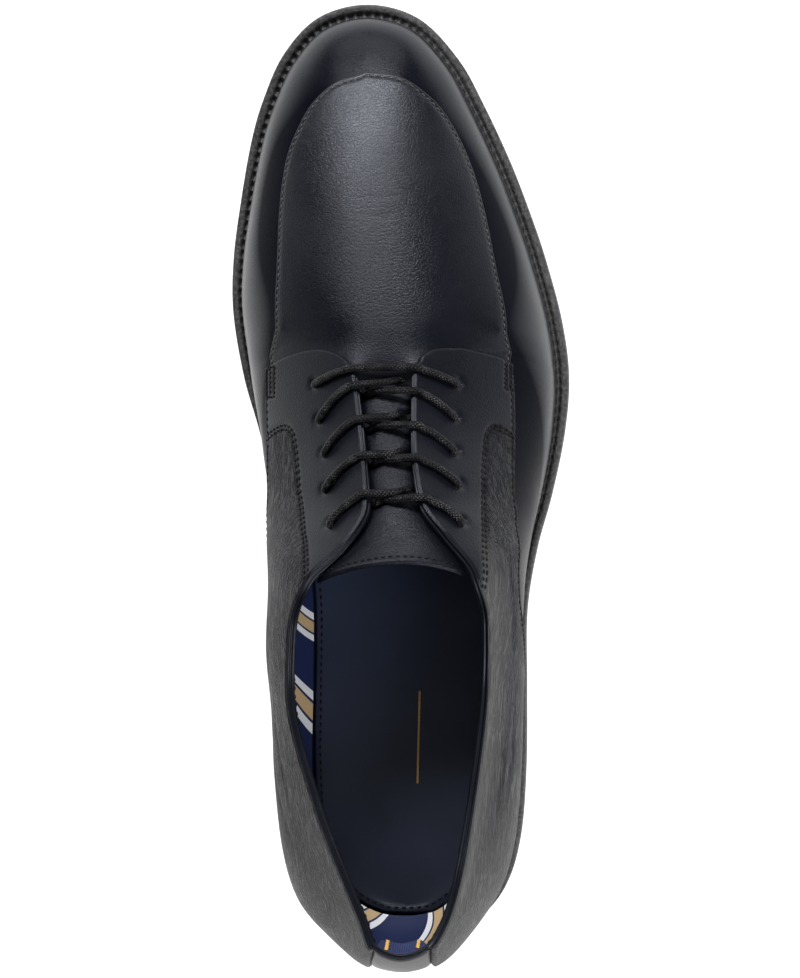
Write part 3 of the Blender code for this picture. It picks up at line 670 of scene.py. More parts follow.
def add_stitches(name, path, normals, material, stitch, slot="upper_leather"):
    """A row of stitches along a path: a short thread for each, its ends diving into the leather."""
    total = travelled(path)[-1]
    count = max(int(round(total / stitch.pitch)), 1)
    rings = np.linspace(-1.0, 1.0, 7)
    sides = np.linspace(0.0, 2.0 * math.pi, 7)[:-1]
    centres = (np.arange(count) + 0.5) * total / count
    places = (centres[:, None] + rings[None, :] * stitch.length / 2.0).reshape(-1)
    found = columns_at(places, travelled(path), np.hstack((path, normals)))
    spine = found[:, 0:3].reshape(count, len(rings), 3)
    normal = unit(found[:, 3:6].reshape(count, len(rings), 3))
    tangent = unit(np.repeat((spine[:, -1] - spine[:, 0])[:, None], len(rings), axis=1))
    side = np.cross(normal, tangent)
    thinning = 0.88
    dive = STITCH_RISE + 0.6 * stitch.width
    girth = (np.sqrt(1.0 - thinning * rings ** 2) * stitch.width / 2.0)[None, :, None, None]
    lift = (STITCH_RISE - dive * np.abs(rings) ** 3)[None, :, None, None]
    across = np.cos(sides)[None, None, :, None]
    up = np.sin(sides)[None, None, :, None]
    points = spine[:, :, None] + normal[:, :, None] * (lift + girth * up)
    points = points + side[:, :, None] * girth * across
    faces = grid_faces(count, len(rings), len(sides), True)
    add_piece(name, points.reshape(-1, 3), faces, [material])


def stitch_row(name, surface, sheet, row, material, stitch):
    """A row of stitches beside a sheet, laid on the surface that it was shaped to."""
    add_stitches(name, *onto(surface, row, near_normals(sheet, row)), material, stitch)


def tube(path, radius, sides=16):
    """Points, faces and texture places of a round tube along a path."""
    tangent = unit(np.gradient(path, axis=0))
    side = unit(np.cross(tangent, UP))
    up = np.cross(side, tangent)
    angle = np.linspace(0.0, 2.0 * math.pi, sides + 1)
    points = (path[:, None] + side[:, None] * np.cos(angle)[None, :, None] * radius
              + up[:, None] * np.sin(angle)[None, :, None] * radius)
    length = np.repeat(travelled(path)[:, None], sides + 1, axis=1)
    turn = np.repeat((angle / (2.0 * math.pi))[None, :], len(path), axis=0)
    uv = np.stack((length, turn), axis=-1).reshape(-1, 2)
    return points.reshape(-1, 3), grid_faces(1, len(path), sides + 1, False), uv


# Materials

class Finish:
    """A material's nodes, with short calls that add and link them."""

    def __init__(self, name, roughness, specular=0.5):
        self.material = bpy.data.materials.new(name)
        self.material.use_nodes = True
        self.tree = self.material.node_tree
        self.shader = self.tree.nodes["Principled BSDF"]
        self.shader.inputs["Roughness"].default_value = roughness
        self.shader.inputs["Specular IOR Level"].default_value = specular

    def node(self, kind, inputs=None, **settings):
        made = self.tree.nodes.new(kind)
        for key, value in settings.items():
            setattr(made, key, value)
        for key, value in (inputs or {}).items():
            self.put(made.inputs[key], value)
        return made

    def put(self, socket, value):
        if isinstance(value, bpy.types.NodeSocket):
            self.tree.links.new(value, socket)
        else:
            socket.default_value = value

    def axes(self, vector):
        """The parts of a vector along each axis."""
        return self.node("ShaderNodeSeparateXYZ", {"Vector": vector}).outputs

    def texture_axes(self):
        """The two parts of the texture places."""
        return self.axes(self.node("ShaderNodeUVMap", uv_map="UVMap").outputs["UV"])

    def place(self, scale=(1.0, 1.0, 1.0)):
        """Object places in metres, scaled along each axis."""
        spot = self.node("ShaderNodeTexCoord").outputs["Object"]
        return self.node("ShaderNodeMapping", {"Vector": spot, "Scale": scale}).outputs["Vector"]

    def noise(self, vector, scale, detail=3.0, roughness=0.55, distortion=0.0):
        values = {"Vector": vector, "Scale": scale, "Detail": detail, "Roughness": roughness,
                  "Distortion": distortion}
        return self.node("ShaderNodeTexNoise", values).outputs["Fac"]

    def cells(self, vector, scale):
        values = {"Vector": vector, "Scale": scale}
        return self.node("ShaderNodeTexVoronoi", values, feature="DISTANCE_TO_EDGE").outputs["Distance"]

    def vector_math(self, operation, first, second):
        return self.node("ShaderNodeVectorMath", {0: first, 1: second}, operation=operation).outputs["Vector"]

    def ramp(self, value, low, high, start=0.0, end=1.0):
        """A value mapped between two limits, clamped."""
        values = {"Value": value, "From Min": low, "From Max": high, "To Min": start, "To Max": end}
        return self.node("ShaderNodeMapRange", values, clamp=True).outputs["Result"]

    def math(self, operation, first, second=0.0):
        made = self.node("ShaderNodeMath", operation=operation)
        self.put(made.inputs[0], first)
        self.put(made.inputs[1], second)
        return made.outputs["Value"]

    def mix(self, share, first, second):
        """A colour between two others."""
        made = self.node("ShaderNodeMix", data_type="RGBA")
        self.put(made.inputs[0], share)
        for socket, colour in ((made.inputs[6], first), (made.inputs[7], second)):
            self.put(socket, colour if isinstance(colour, bpy.types.NodeSocket) else (*colour, 1.0))
        return made.outputs[2]

    def bump(self, height, strength, depth, normal=None):
        """A bump of a depth in millimetres."""
        values = {"Height": height, "Strength": strength, "Distance": depth * MM}
        if normal is not None:
            values["Normal"] = normal
        return self.node("ShaderNodeBump", values).outputs["Normal"]

    def set(self, socket, value):
        self.put(self.shader.inputs[socket], value)


Fade = namedtuple("Fade", "start end first last")
BLACK = (0.002, 0.0024, 0.0048)
WORN_BLACK = (0.0032, 0.0037, 0.0066)
COOL = (0.86, 0.9, 1.0, 1.0)
WARP = 0.0009
STRONG_WRINKLE = 0.5
# Painted light, a paler colour where light falls on the surface: its colour, and where it starts across the
# shoe and toward the heel
PAINTED_LIGHT = (0.05, 0.05, 0.051)
PAINTED_LIGHT_SIDE = Fade(0.0, 0.02, 0.0, 1.0)
PAINTED_LIGHT_HEEL = Fade(-0.085, -0.135, 0.0, 0.9)


def leather(name, roughness, specular, grain, wrinkle=0.0, stretch=(1.0, 1.0, 1.0), cool=True,
            shine=None, painted_light=None):
    """Black leather: fine cells and pores, drawn-out wrinkles, and gloss that varies.

    The shine fades along the texture's second axis, and so does the painted light, a paler colour painted
    where light falls, which is kept to the right side and spread toward the heel. Strong wrinkles are matt in
    their folds.
    """
    finish = Finish(name, roughness, specular=specular)
    if cool:
        finish.set("Specular Tint", COOL)
    spot = finish.place()
    ripple = {"Vector": spot, "Scale": 420.0, "Detail": 2.0}
    warp = finish.node("ShaderNodeTexNoise", ripple).outputs["Color"]
    moved = finish.vector_math("MULTIPLY", warp, (WARP, WARP, WARP))
    bent = finish.vector_math("ADD", spot, moved)
    cells = finish.ramp(finish.cells(bent, 1000.0), 0.0, 0.16)
    pores = finish.noise(spot, 2600.0, 2.0)
    height = finish.math("ADD", finish.math("MULTIPLY", cells, 0.6), finish.math("MULTIPLY", pores, 0.5))
    normal = finish.bump(height, grain, 0.12)
    if wrinkle > 0.0:
        long = finish.place(stretch)
        folds = finish.noise(long, 620.0, 4.0, 0.6, 0.6)
        sharp = finish.math("ABSOLUTE", finish.math("SUBTRACT", folds, 0.5))
        lines = finish.ramp(sharp, 0.0, 0.12)
        normal = finish.bump(lines, wrinkle, 0.3, normal)
        if wrinkle > STRONG_WRINKLE:
            matt = specular * (1.0 - wrinkle)
            finish.set("Specular IOR Level", finish.ramp(lines, 0.0, 1.0, matt, specular))
    finish.set("Normal", normal)
    patches = finish.noise(spot, 45.0, 3.0)
    colour = finish.mix(finish.ramp(patches, 0.35, 0.7), BLACK, WORN_BLACK)
    if shine:
        finish.set("Specular IOR Level", finish.ramp(finish.texture_axes()["Y"], *shine))
    # Painted light: a paler colour on the right side near the top edge and toward the heel.
    if painted_light:
        parts = finish.axes(spot)
        fade = finish.ramp(finish.texture_axes()["Y"], *painted_light)
        share = finish.math("MULTIPLY", fade, finish.ramp(parts["X"], *PAINTED_LIGHT_SIDE))
        share = finish.math("MAXIMUM", share, finish.ramp(parts["Y"], *PAINTED_LIGHT_HEEL))
        colour = finish.mix(share, colour, PAINTED_LIGHT)
    finish.set("Base Color", colour)
    broad = finish.ramp(patches, 0.3, 0.7, -0.05, 0.05)
    fine = finish.ramp(pores, 0.3, 0.7, -0.04, 0.04)
    finish.set("Roughness", finish.math("ADD", finish.math("ADD", broad, fine), roughness))
    return finish.material


def thread(name, colour, specular=0.12):
    """Twisted thread."""
    finish = Finish(name, 0.5, specular=specular)
    spot = finish.place()
    twist = finish.noise(spot, 3000.0, 1.0)
    finish.set("Normal", finish.bump(twist, 0.4, 0.08))
    lighter = tuple(1.5 * part for part in colour)
    finish.set("Base Color", finish.mix(finish.ramp(twist, 0.3, 0.7), colour, lighter))
    return finish.material


def lace_braid():
    """Round waxed braid: crossing strands, black, with a painted highlight on many of them for the shine of
    the wax.
    """
    finish = Finish("lace_braid", 0.36, specular=0.14)
    parts = finish.texture_axes()
    strand_count, turn_length = 6.0, 1.15
    strands = finish.math("MULTIPLY", parts["Y"], strand_count * 2.0 * math.pi)
    pitch = finish.math("MULTIPLY", parts["X"], 2.0 * math.pi / turn_length)
    first = finish.math("SINE", finish.math("ADD", strands, pitch))
    second = finish.math("SINE", finish.math("SUBTRACT", strands, pitch))
    height = finish.math("MAXIMUM", first, second)
    finish.set("Normal", finish.bump(height, 0.6, 0.25))
    speck = finish.noise(finish.place(), 260.0, 2.0)
    crown = finish.math("MULTIPLY", finish.ramp(first, 0.2, 0.9), finish.ramp(second, -0.2, 0.6))
    # Painted highlight: a paler colour on the strands' crowns, in patches, standing in for the shine of the
    # wax.
    painted_glint = finish.math("MULTIPLY", crown, finish.ramp(speck, 0.47, 0.62))
    finish.set("Base Color", finish.mix(painted_glint, (0.003, 0.003, 0.004), (0.085, 0.085, 0.088)))
    return finish.material


def striped_lining():
    """Navy satin with plain diagonal club stripes in tan and white, black leather along its top."""
    finish = Finish("striped_lining", 0.6, specular=0.2)
    parts = finish.texture_axes()
    below = parts["Y"]
    lean, repeat, band_width, weave_pitch = 0.75, 34.0, 4.0, 0.7
    slant = finish.math("SUBTRACT", parts["X"], finish.math("MULTIPLY", below, lean))
    phase = finish.math("MODULO", finish.math("ADD", slant, 20.0 * repeat), repeat)
    navy, tan, white = (0.012, 0.02, 0.07), (0.5, 0.36, 0.2), (0.72, 0.74, 0.78)
    colour = navy
    for start, end, tone in ((4.0, 7.0, white), (8.0, 13.0, tan), (14.0, 17.0, white)):
        inside = finish.math("MULTIPLY", finish.math("GREATER_THAN", phase, start),
                             finish.math("LESS_THAN", phase, end))
        colour = finish.mix(inside, colour, tone)
    band = finish.math("LESS_THAN", below, band_width)
    finish.set("Base Color", finish.mix(band, colour, (0.012, 0.012, 0.014)))
    weave = finish.math("SINE", finish.math("MULTIPLY", slant, 2.0 * math.pi / weave_pitch))
    finish.set("Normal", finish.bump(weave, 0.25, 0.05))
    return finish.material


def sock_leather():
    """Dark navy sock, matt with a soft sheen, painted darker toward the heel as painted shade."""
    finish = Finish("sock_leather", 0.55, specular=0.3)
    spot = finish.place()
    grain = finish.noise(spot, 1800.0, 2.0)
    finish.set("Normal", finish.bump(grain, 0.25, 0.06))
    # Painted shade: the sock's colour darkens toward the heel, where the heel collar shades it, with random
    # patches over it.
    forward = finish.ramp(finish.axes(spot)["Y"], -0.13, -0.03)
    patches = finish.math("ADD", forward, finish.ramp(finish.noise(spot, 40.0, 2.0), 0.3, 0.7, -0.15, 0.15))
    painted_shade_tone, arch_tone = (0.006, 0.009, 0.021), (0.018, 0.026, 0.056)
    finish.set("Base Color", finish.mix(finish.ramp(patches, 0.0, 1.0), painted_shade_tone, arch_tone))
    return finish.material


def stippled_rubber(name, dark, light, strength):
    """Rubber with a stippled, mottled surface."""
    finish = Finish(name, 0.6)
    spot = finish.place()
    coarse = finish.noise(spot, 900.0, 3.0, 0.65)
    finish.set("Normal", finish.bump(coarse, strength, 0.4))
    finish.set("Base Color", finish.mix(finish.ramp(coarse, 0.38, 0.68), dark, light))
    finish.set("Roughness", finish.ramp(coarse, 0.3, 0.7, 0.7, 0.5))
    return finish.material


def ribbed_rubber():
    """Outsole rubber: smooth sides and fine cross ribs underneath."""
    finish = Finish("sole_rubber", 0.55)
    spot = finish.place()
    rib_pitch = 0.004
    phase = finish.math("MULTIPLY", finish.axes(spot)["Y"], 2.0 * math.pi / rib_pitch)
    ribs_across = finish.math("SINE", phase)
    facing = finish.node("ShaderNodeNewGeometry").outputs["Normal"]
    below = finish.ramp(finish.axes(facing)["Z"], -0.7, -0.9)
    fine = finish.noise(spot, 1200.0, 3.0)
    height = finish.math("ADD", finish.math("MULTIPLY", finish.ramp(ribs_across, -0.2, 0.2), below),
                         finish.math("MULTIPLY", fine, 0.25))
    finish.set("Normal", finish.bump(height, 0.6, 0.5))
    dark, light = (0.011, 0.011, 0.012), (0.022, 0.022, 0.024)
    finish.set("Base Color", finish.mix(finish.ramp(fine, 0.35, 0.7), dark, light))
    return finish.material


def ribbon_weave():
    """Woven navy ribbon with fine ribs."""
    finish = Finish("ribbon_weave", 0.6)
    spot = finish.place()
    rib_pitch = 0.0007
    weave = finish.math("SINE", finish.math("MULTIPLY", finish.axes(spot)["X"], 2.0 * math.pi / rib_pitch))
    finish.set("Normal", finish.bump(weave, 0.4, 0.1))
    dark, light = (0.014, 0.02, 0.065), (0.024, 0.034, 0.105)
    finish.set("Base Color", finish.mix(finish.ramp(weave, -1.0, 1.0), dark, light))
    return finish.material


def pale_floor():
    """A white table, lit from below so that no hard shadow falls on it."""
    finish = Finish("pale_floor", 0.9, specular=0.1)
    spot = finish.place()
    finish.set("Base Color", finish.mix(finish.noise(spot, 2.0), (0.29, 0.29, 0.29), (0.31, 0.31, 0.31)))
    finish.set("Emission Color", (1.0, 1.0, 1.0, 1.0))
    finish.set("Emission Strength", 0.98)
    return finish.material


SMOOTH = leather("leather_smooth", 0.3, 0.36, grain=0.18, shine=Fade(1.0, 17.0, 0.6, 0.02))
STRIP = leather("leather_strip", 0.38, 0.3, grain=0.18, cool=False)
APRON = leather("leather_apron", 0.35, 0.36, grain=0.4, wrinkle=0.08,
                shine=Fade(45.0, 112.0, 0.17, 0.4))
FACING = leather("leather_facing", 0.4, 0.21, grain=0.4, wrinkle=0.08, stretch=(0.8, 0.8, 0.8))
GRAIN = leather("leather_grain", 0.43, 0.24, grain=0.5, wrinkle=0.75, stretch=(1.0, 0.18, 1.0), cool=False,
                painted_light=Fade(3.0, 17.0, 1.0, 0.0))
RIM = leather("leather_rim", 0.36, 0.24, grain=0.12)
SOFT = leather("leather_tongue", 0.42, 0.18, grain=0.5, wrinkle=0.2, stretch=(0.3, 1.0, 1.0))
LINING = striped_lining()
SOCK = sock_leather()
BRAID = lace_braid()
WELT = stippled_rubber("welt_rubber", (0.010, 0.010, 0.011), (0.06, 0.06, 0.062), 0.8)
RUBBER = ribbed_rubber()
RIBBON = ribbon_weave()
THREAD = thread("black_thread", (0.0025, 0.0025, 0.003))
WAXED_THREAD = thread("waxed_thread", (0.012, 0.012, 0.013), 0.6)
GOLD = thread("gold_thread", (0.42, 0.26, 0.07))


# Upper

# Loop positions round which the wall's shine climbs higher, with their width and share
SHINE_CLIMBS = ((11.6, 1.4, 0.5), (19.0, 3.3, 0.5), (26.2, 2.0, 0.5))


def make_vamp_wall():
    """The smooth wall between the sole and the apron, ending under the quarters."""
    positions = column_places(SEAM_FOOT - 0.4, LOOP - SEAM_FOOT + 0.4, 0.8)
    fractions = row_fractions(ribs(positions), np.zeros(len(positions)), wall_high(positions), 60)
    points = on_upper(positions[:, None], fractions)
    tuck = 1.5
    points = np.concatenate((points[:, :1] - UP * tuck, points), axis=1)
    sheet = Sheet(points)
    above = np.linalg.norm(points - points[:, :1], axis=2)
    for place, width, share in SHINE_CLIMBS:
        above = above * (1.0 - share * np.exp(-((positions - place) / width) ** 2))[:, None]
    uv = np.column_stack((sheet.own(np.repeat(positions, points.shape[1])), sheet.own(above)))
    add_piece("vamp_wall", sheet.points, sheet.faces, [SMOOTH], ["upper"], uv)


def relaxed(points, faces, share, rounds):
    """Points drawn toward the middle of their neighbours, each by its own share, again and again."""
    pairs = np.array([(a, b) for face in faces for a, b in zip(face, face[1:] + face[:1])])
    pairs = np.unique(np.sort(pairs, axis=1), axis=0)
    count = np.maximum(np.bincount(pairs.reshape(-1), minlength=len(points)), 1)[:, None]
    here = pairs.reshape(-1)
    there = pairs[:, ::-1].reshape(-1)
    for _ in range(rounds):
        total = np.column_stack([np.bincount(here, points[there, k], len(points)) for k in range(3)])
        points = points + share[:, None] * (total / count - points)
    return points


APRON_CREASES = (
    ((-15.0, 90.5), (-7.0, 88.5), (3.0, 89.5), (8.0, 91.5)),
    ((-13.0, 84.0), (-5.0, 82.5), (6.0, 84.5)),
)
APRON_END = 10.5
# How far the apron's rear end runs on, and how it climbs and sags
FLAP_REACH = 9.0
FLAP_CLIMB = 0.2
FLAP_SAG = 0.022


def throat_flap(positions, grid):
    """The apron's rear end, which runs on under the first lace bar."""
    limit = positions[positions >= VAMP_START][0]
    outer = (positions >= THROAT - 0.05) & (positions <= limit)
    inner = (positions >= LOOP - limit - 1e-6) & (positions <= LOOP - THROAT + 0.05)
    rear = np.concatenate((grid[outer, -1], grid[inner, -1]))
    back = np.linspace(0.0, FLAP_REACH, 14)[None, :, None]
    return rear[:, None] + back * np.array((0.0, -1.0, FLAP_CLIMB)) - UP * FLAP_SAG * back ** 2


def crease_troughs(surface, creases, shape):
    """Soft troughs along creases that are given in plan."""
    lines = [drop(surface, even_path(smooth_path(crease), CREASE_STEP))[0] for crease in creases]
    return [Trough(line, *shape) for line in lines]


def make_apron():
    """The raised plug with its rounded edge, a row of stitches and a few soft cross creases."""
    outer = column_places(APRON_END, TOE, 0.7)
    positions = np.concatenate((outer, LOOP - outer[-2::-1]))
    station = np.minimum(positions, LOOP - positions)
    tucked = np.clip((THROAT - station) / (THROAT - APRON_END), 0.0, 1.0)
    low = apron_seam(np.where(positions > LOOP - THROAT, LOOP - THROAT, positions))
    fractions = row_fractions(ribs(positions), low, 1.0 - 0.25 * tucked, 70, near=EDGE)
    grid = on_upper(positions[:, None], fractions)
    inner = np.arange(len(outer), len(positions))
    on_ridge = inner[station[inner] >= VAMP_START]
    grid[on_ridge, -1] = grid[len(positions) - 1 - on_ridge, -1]
    flap = throat_flap(positions, grid)
    sheet = Sheet(grid, flap)
    far, _ = distance_to(sheet.points, even_path(grid[:, 0], EDGE_STEP))
    held = np.zeros(grid.shape[:2])
    held[tucked > 0.1] = 1.0
    held_flap = np.zeros(flap.shape[:2])
    held_flap[:, -1] = 1.0
    held_flap[[0, -1]] = 1.0
    loose = 1.0 - sheet.own(np.concatenate((held.reshape(-1), held_flap.reshape(-1))))
    strength, still_edge, blend_width = 0.8, 4.0, 10.0
    share = strength * loose * np.clip((far - still_edge) / blend_width, 0.0, 1.0)
    sheet.points = relaxed(sheet.points, sheet.faces, share, rounds=160)
    sheet.normals = unit(relaxed(sheet.normals, sheet.faces, share, rounds=60))
    surface = tree_of(sheet.points, sheet.faces)
    inset = 1.5
    row = row_fractions(ribs(positions), low, np.ones(len(low)), 1, near=(0.0, inset))[:, 1]
    seam = even_path(on_upper(positions, row), ROW_STEP)
    troughs = [Trough(seam, *APRON_GROOVE), *crease_troughs(surface, APRON_CREASES, APRON_CREASE)]
    sunk = sheet.own(np.concatenate((np.repeat(tucked, fractions.shape[1]), np.zeros(held_flap.size))))
    heights = APRON_TOP * (1.0 - sunk) * rounded(far, EDGE_ROUND) + relief(sheet.points, troughs)
    points = sheet.lifted(heights)
    add_piece("apron_panel", points, sheet.faces, [APRON], ["apron"], points[:, 0:2])
    stitch_row("apron_stitches", tree_of(points, sheet.faces), sheet, seam, WAXED_THREAD, PANEL_STITCH)


def near_normals(sheet, path):
    """Normals of a sheet at its points nearest to a path."""
    tree = point_tree(sheet.points)
    return sheet.normals[[tree.find(place)[1] for place in path]]


def inside(plan, ring):
    """Whether places in plan lie inside a closed ring."""
    x, y = plan[:, 0], plan[:, 1]
    found = np.zeros(len(plan), dtype=bool)
    for (ax, ay), (bx, by) in zip(ring, np.roll(ring, -1, axis=0)):
        if ay != by:
            crossing = ax + (y - ay) / (by - ay) * (bx - ax)
            found ^= ((ay > y) != (by > y)) & (x < crossing)
    return found


# Rows of stitches and creases on the quarters, in plan
Quarter = namedtuple("Quarter", "side node curve bar creases")
QUARTERS = (
    Quarter(
        -1, "quarter_medial",
        ((-39.0, 13.2), (-35.8, 15.5), (-32.5, 16.8), (-29.9, 15.8), (-28.4, 12.4), (-27.0, 4.5),
         (-25.2, -7.6), (-22.6, -19.5), (-21.4, -26.5), (-21.1, -29.0)),
        ((-38.6, 36.3), (-35.7, 36.6), (-35.7, 27.2), (-38.3, 27.0), (-38.6, 36.3), (-37.2, 35.4),
         (-37.0, 28.0)),
        (((-33.0, -62.0), (-32.0, -80.0), (-27.0, -100.0)),
         ((-35.5, -70.0), (-33.5, -92.0), (-27.0, -112.0)),
         ((-34.0, -30.0), (-35.0, -46.0), (-34.5, -60.0)))),
    Quarter(
        1, "quarter_lateral",
        ((38.3, 14.5), (35.7, 16.0), (32.3, 17.9), (30.2, 17.4), (28.8, 14.5), (28.4, 7.7), (28.5, -2.1),
         (29.6, -16.1), (30.3, -25.0), (30.1, -28.2), (29.7, -31.0)),
        ((34.2, 38.6), (36.7, 38.2), (36.7, 28.9), (34.2, 29.4), (34.2, 38.6), (35.5, 37.6), (35.5, 29.9)),
        (((36.5, -20.0), (37.5, -38.0), (37.0, -55.0)),
         ((34.5, -75.0), (33.5, -92.0), (30.5, -108.0)),
         ((37.0, -66.0), (36.6, -82.0), (34.5, -98.0)))),
)
SEAM_INSET = 1.7
ROW_GAP = 1.3
# Share of the quarters' height at the sole, and how far up they reach the full height
FOOT_SHARE = 0.45
FOOT_TAPER = 9.0
# Thickness of the panels at the top edge, and how far down it takes to reach the full height
RIM_OUTER = 1.65
RIM_STRIP = 0.8
TOP_TAPER = 0.6


def make_quarter(quarter):
    """One quarter with its rounded edges, stitch rows, bar tack and lace holes."""
    side = quarter.side
    ends = (STRIP_EDGE, THROAT) if side > 0 else (-THROAT, -STRIP_EDGE)
    columns = column_places(*ends, 0.7, near=EDGE, far=EDGE)
    fractions = row_fractions(ribs(columns), quarter_low(columns), np.ones(len(columns)), 96, near=EDGE)
    share = (np.abs(columns) - STRIP_EDGE) / (THROAT - STRIP_EDGE)
    rear = rear_edge[side](fractions)
    positions = side * (rear + share[:, None] * (front_edge[side](fractions) - rear))
    grid = on_upper(positions, fractions)
    sheet = Sheet(grid)
    surface = tree_of(sheet.points, sheet.faces)
    seam_edge = even_path(grid[np.abs(columns) >= SEAM_FOOT, 0], ROW_STEP)
    edges = np.concatenate([even_path(edge, EDGE_STEP) for edge in (grid[0], grid[-1], seam_edge)])
    far, _ = distance_to(sheet.points, edges)

    seam_row = beside(sheet, surface, seam_edge, SEAM_INSET)
    curve_plan = even_path(smooth_path(quarter.curve), ROW_STEP)
    curve, _ = drop(surface, curve_plan)
    second = beside(sheet, surface, curve, ROW_GAP)
    bar, _ = drop(surface, even_path(np.array(quarter.bar), ROW_STEP))
    troughs = [Trough(row, *QUARTER_GROOVE) for row in (seam_row, curve, second, bar)]
    troughs += crease_troughs(surface, quarter.creases, QUARTER_CREASE)
    for row in HOLES:
        hole = Holes(*row)
        plan = (hole.outer_x, hole.outer_y) if side > 0 else (hole.inner_x, hole.inner_y)
        pit, _ = drop(surface, np.array([plan]))
        troughs.append(Trough(pit, *LACE_PIT))

    above = sheet.own(np.linalg.norm(grid - on_upper(columns, 0.0)[:, None], axis=2))
    below = sheet.own(np.linalg.norm(grid - grid[:, -1:], axis=2))
    foot_taper = FOOT_SHARE + (1.0 - FOOT_SHARE) * np.clip(above / FOOT_TAPER, 0.0, 1.0)
    full = np.sin(np.clip(below / TOP_TAPER, 0.0, 1.0) * math.pi / 2.0)
    top_taper = RIM_OUTER + (QUARTER_TOP - RIM_OUTER) * full
    heights = top_taper * foot_taper * rounded(far, EDGE_ROUND) + relief(sheet.points, troughs)
    points = sheet.lifted(heights)
    end_x, end_y, beyond = abs(quarter.curve[-1][0]) - 2.5, -29.5, 70.0
    corners = ((end_x, end_y), (0.0, end_y), (0.0, beyond), (beyond, beyond), (beyond, 14.0))
    facing = inside(sheet.points, np.concatenate((curve_plan, np.array(corners) * (side, 1.0))))
    zones = [int(not facing[face].all()) for face in sheet.faces]
    uv = np.column_stack((sheet.own(positions), below))
    add_piece(quarter.node + "_panel", points, sheet.faces, [FACING, GRAIN],
              [quarter.node], uv, zones)
    shaped = tree_of(points, sheet.faces)
    rows = (("seam", seam_row, QUARTER_STITCH), ("curve", curve, QUARTER_STITCH),
            ("curve_inner", second, QUARTER_STITCH), ("bar", bar, BAR_STITCH))
    for name, row, stitch in rows:
        stitch_row(f"{quarter.node}_{name}_stitches", shaped, sheet, row, THREAD, stitch)
    return shaped


def beside(sheet, surface, path, offset):
    """A path moved to its left across a surface by an offset."""
    tangent = unit(np.gradient(path, axis=0))
    moved = path + np.cross(near_normals(sheet, path), tangent) * offset
    return np.array([surface.find_nearest(Vector(place))[0] for place in moved])


def make_heel_strip():
    """The strip down the heel back, sunk beside the quarters' rear edges."""
    under = 0.08
    shares = np.linspace(-1.0, 1.0, 81)
    columns = shares * STRIP_EDGE
    fractions = row_fractions(ribs(columns), np.zeros(len(columns)), np.ones(len(columns)), 90)
    wide = np.where(shares[:, None] < 0.0, rear_edge[-1](fractions), rear_edge[1](fractions)) + under
    grid = on_upper(shares[:, None] * wide, fractions)
    sheet = Sheet(grid)
    sunk_width, sunk_depth = 0.16, 0.9
    beside_quarters = np.exp(-((1.0 - np.abs(shares)) / sunk_width) ** 2)
    below = np.linalg.norm(grid - grid[:, -1:], axis=2)
    top = RIM_STRIP + (STRIP_TOP - RIM_STRIP) * np.clip(below / TOP_TAPER, 0.0, 1.0)
    heights = top - sunk_depth * beside_quarters[:, None]
    add_piece("heel_strip_panel", sheet.lifted(sheet.own(heights)), sheet.faces, [STRIP],
              ["heel_strip"])


def rim_inner(positions):
    """How far the rim reaches inward: less along the facings."""
    return np.interp(np.abs(positions), (9.2, 9.8), (1.0, 0.2))


class Top:
    """Top edge of the upper: its points, outward normals and the ribs' directions there."""

    def __init__(self):
        self.positions = column_places(-front_edge[-1](1.0), front_edge[1](1.0), 0.6)
        controls = ribs(self.positions)
        self.points = controls[:, 3]
        self.up = unit(controls[:, 3] - controls[:, 2])
        self.normals = unit(np.cross(np.gradient(self.points, axis=0), self.up))

    def facing(self, side, y):
        """Point, normal and direction at a facing's edge beside a place along the shoe."""
        on_facing = np.flatnonzero(side * self.positions >= FACING_TOP)
        order = on_facing[np.argsort(self.points[on_facing, 1])]
        places = self.points[order, 1]
        return [columns_at(y, places, values[order])[0] for values in (self.points, self.normals, self.up)]


def make_rim(top):
    """The folded rim of collar and facings: an outer and an inner roll with a groove between."""
    length = travelled(top.points)
    end_round, step_width = 1.2, 0.1
    end = rounded(np.minimum(length, length[-1] - length), end_round)
    strip = np.clip((STRIP_EDGE + step_width / 2.0 - np.abs(top.positions)) / step_width, 0.0, 1.0)
    outer = ((RIM_OUTER * (1.0 - strip) + RIM_STRIP * strip) * end)[:, None]
    inner = -rim_inner(top.positions)[:, None]
    angles = np.linspace(0.0, math.pi, 25)
    groove_angle, groove_width, groove_depth, roll = 1.4, 0.34, 0.9, 0.6
    groove = 1.0 - groove_depth * np.exp(-((angles - groove_angle) / groove_width) ** 2)
    across = (outer + inner) / 2.0 + (outer - inner) / 2.0 * np.cos(angles)
    high = roll * np.sin(angles) ** 0.7 * groove * end[:, None]
    points = top.points[:, None] + top.normals[:, None] * across[..., None]
    sheet = Sheet(points + top.up[:, None] * high[..., None])
    add_piece("collar_rim", sheet.points, sheet.faces, [RIM], ["upper"])
    collar = (np.abs(top.positions) > STRIP_EDGE) & (np.abs(top.positions) < COLLAR_FRONT)
    row_drop, row_depth = 2.0, 1.45
    for name, side in (("inner", -1), ("outer", 1)):
        on_side = collar & (side * top.positions > 0.0)
        row = top.points[on_side] - top.up[on_side] * row_drop - top.normals[on_side] * row_depth
        add_stitches(f"collar_{name}_stitches", row, -top.normals[on_side], THREAD, COLLAR_STITCH)


# How much further in than the wall the sock's edge lies, round the loop
SOCK_INSET = (
    (-11.0, 2.0), (-9.0, 3.0), (-6.0, 3.0), (-4.0, 3.4), (-2.0, 5.5), (-1.0, 7.6), (0.0, 8.4), (1.0, 7.4),
    (2.0, 5.2), (4.0, 1.8), (6.0, 0.6), (11.0, 0.6), (19.0, 1.0), (27.0, 2.0),
)
sock_inset = softened(SOCK_INSET, 0.5)


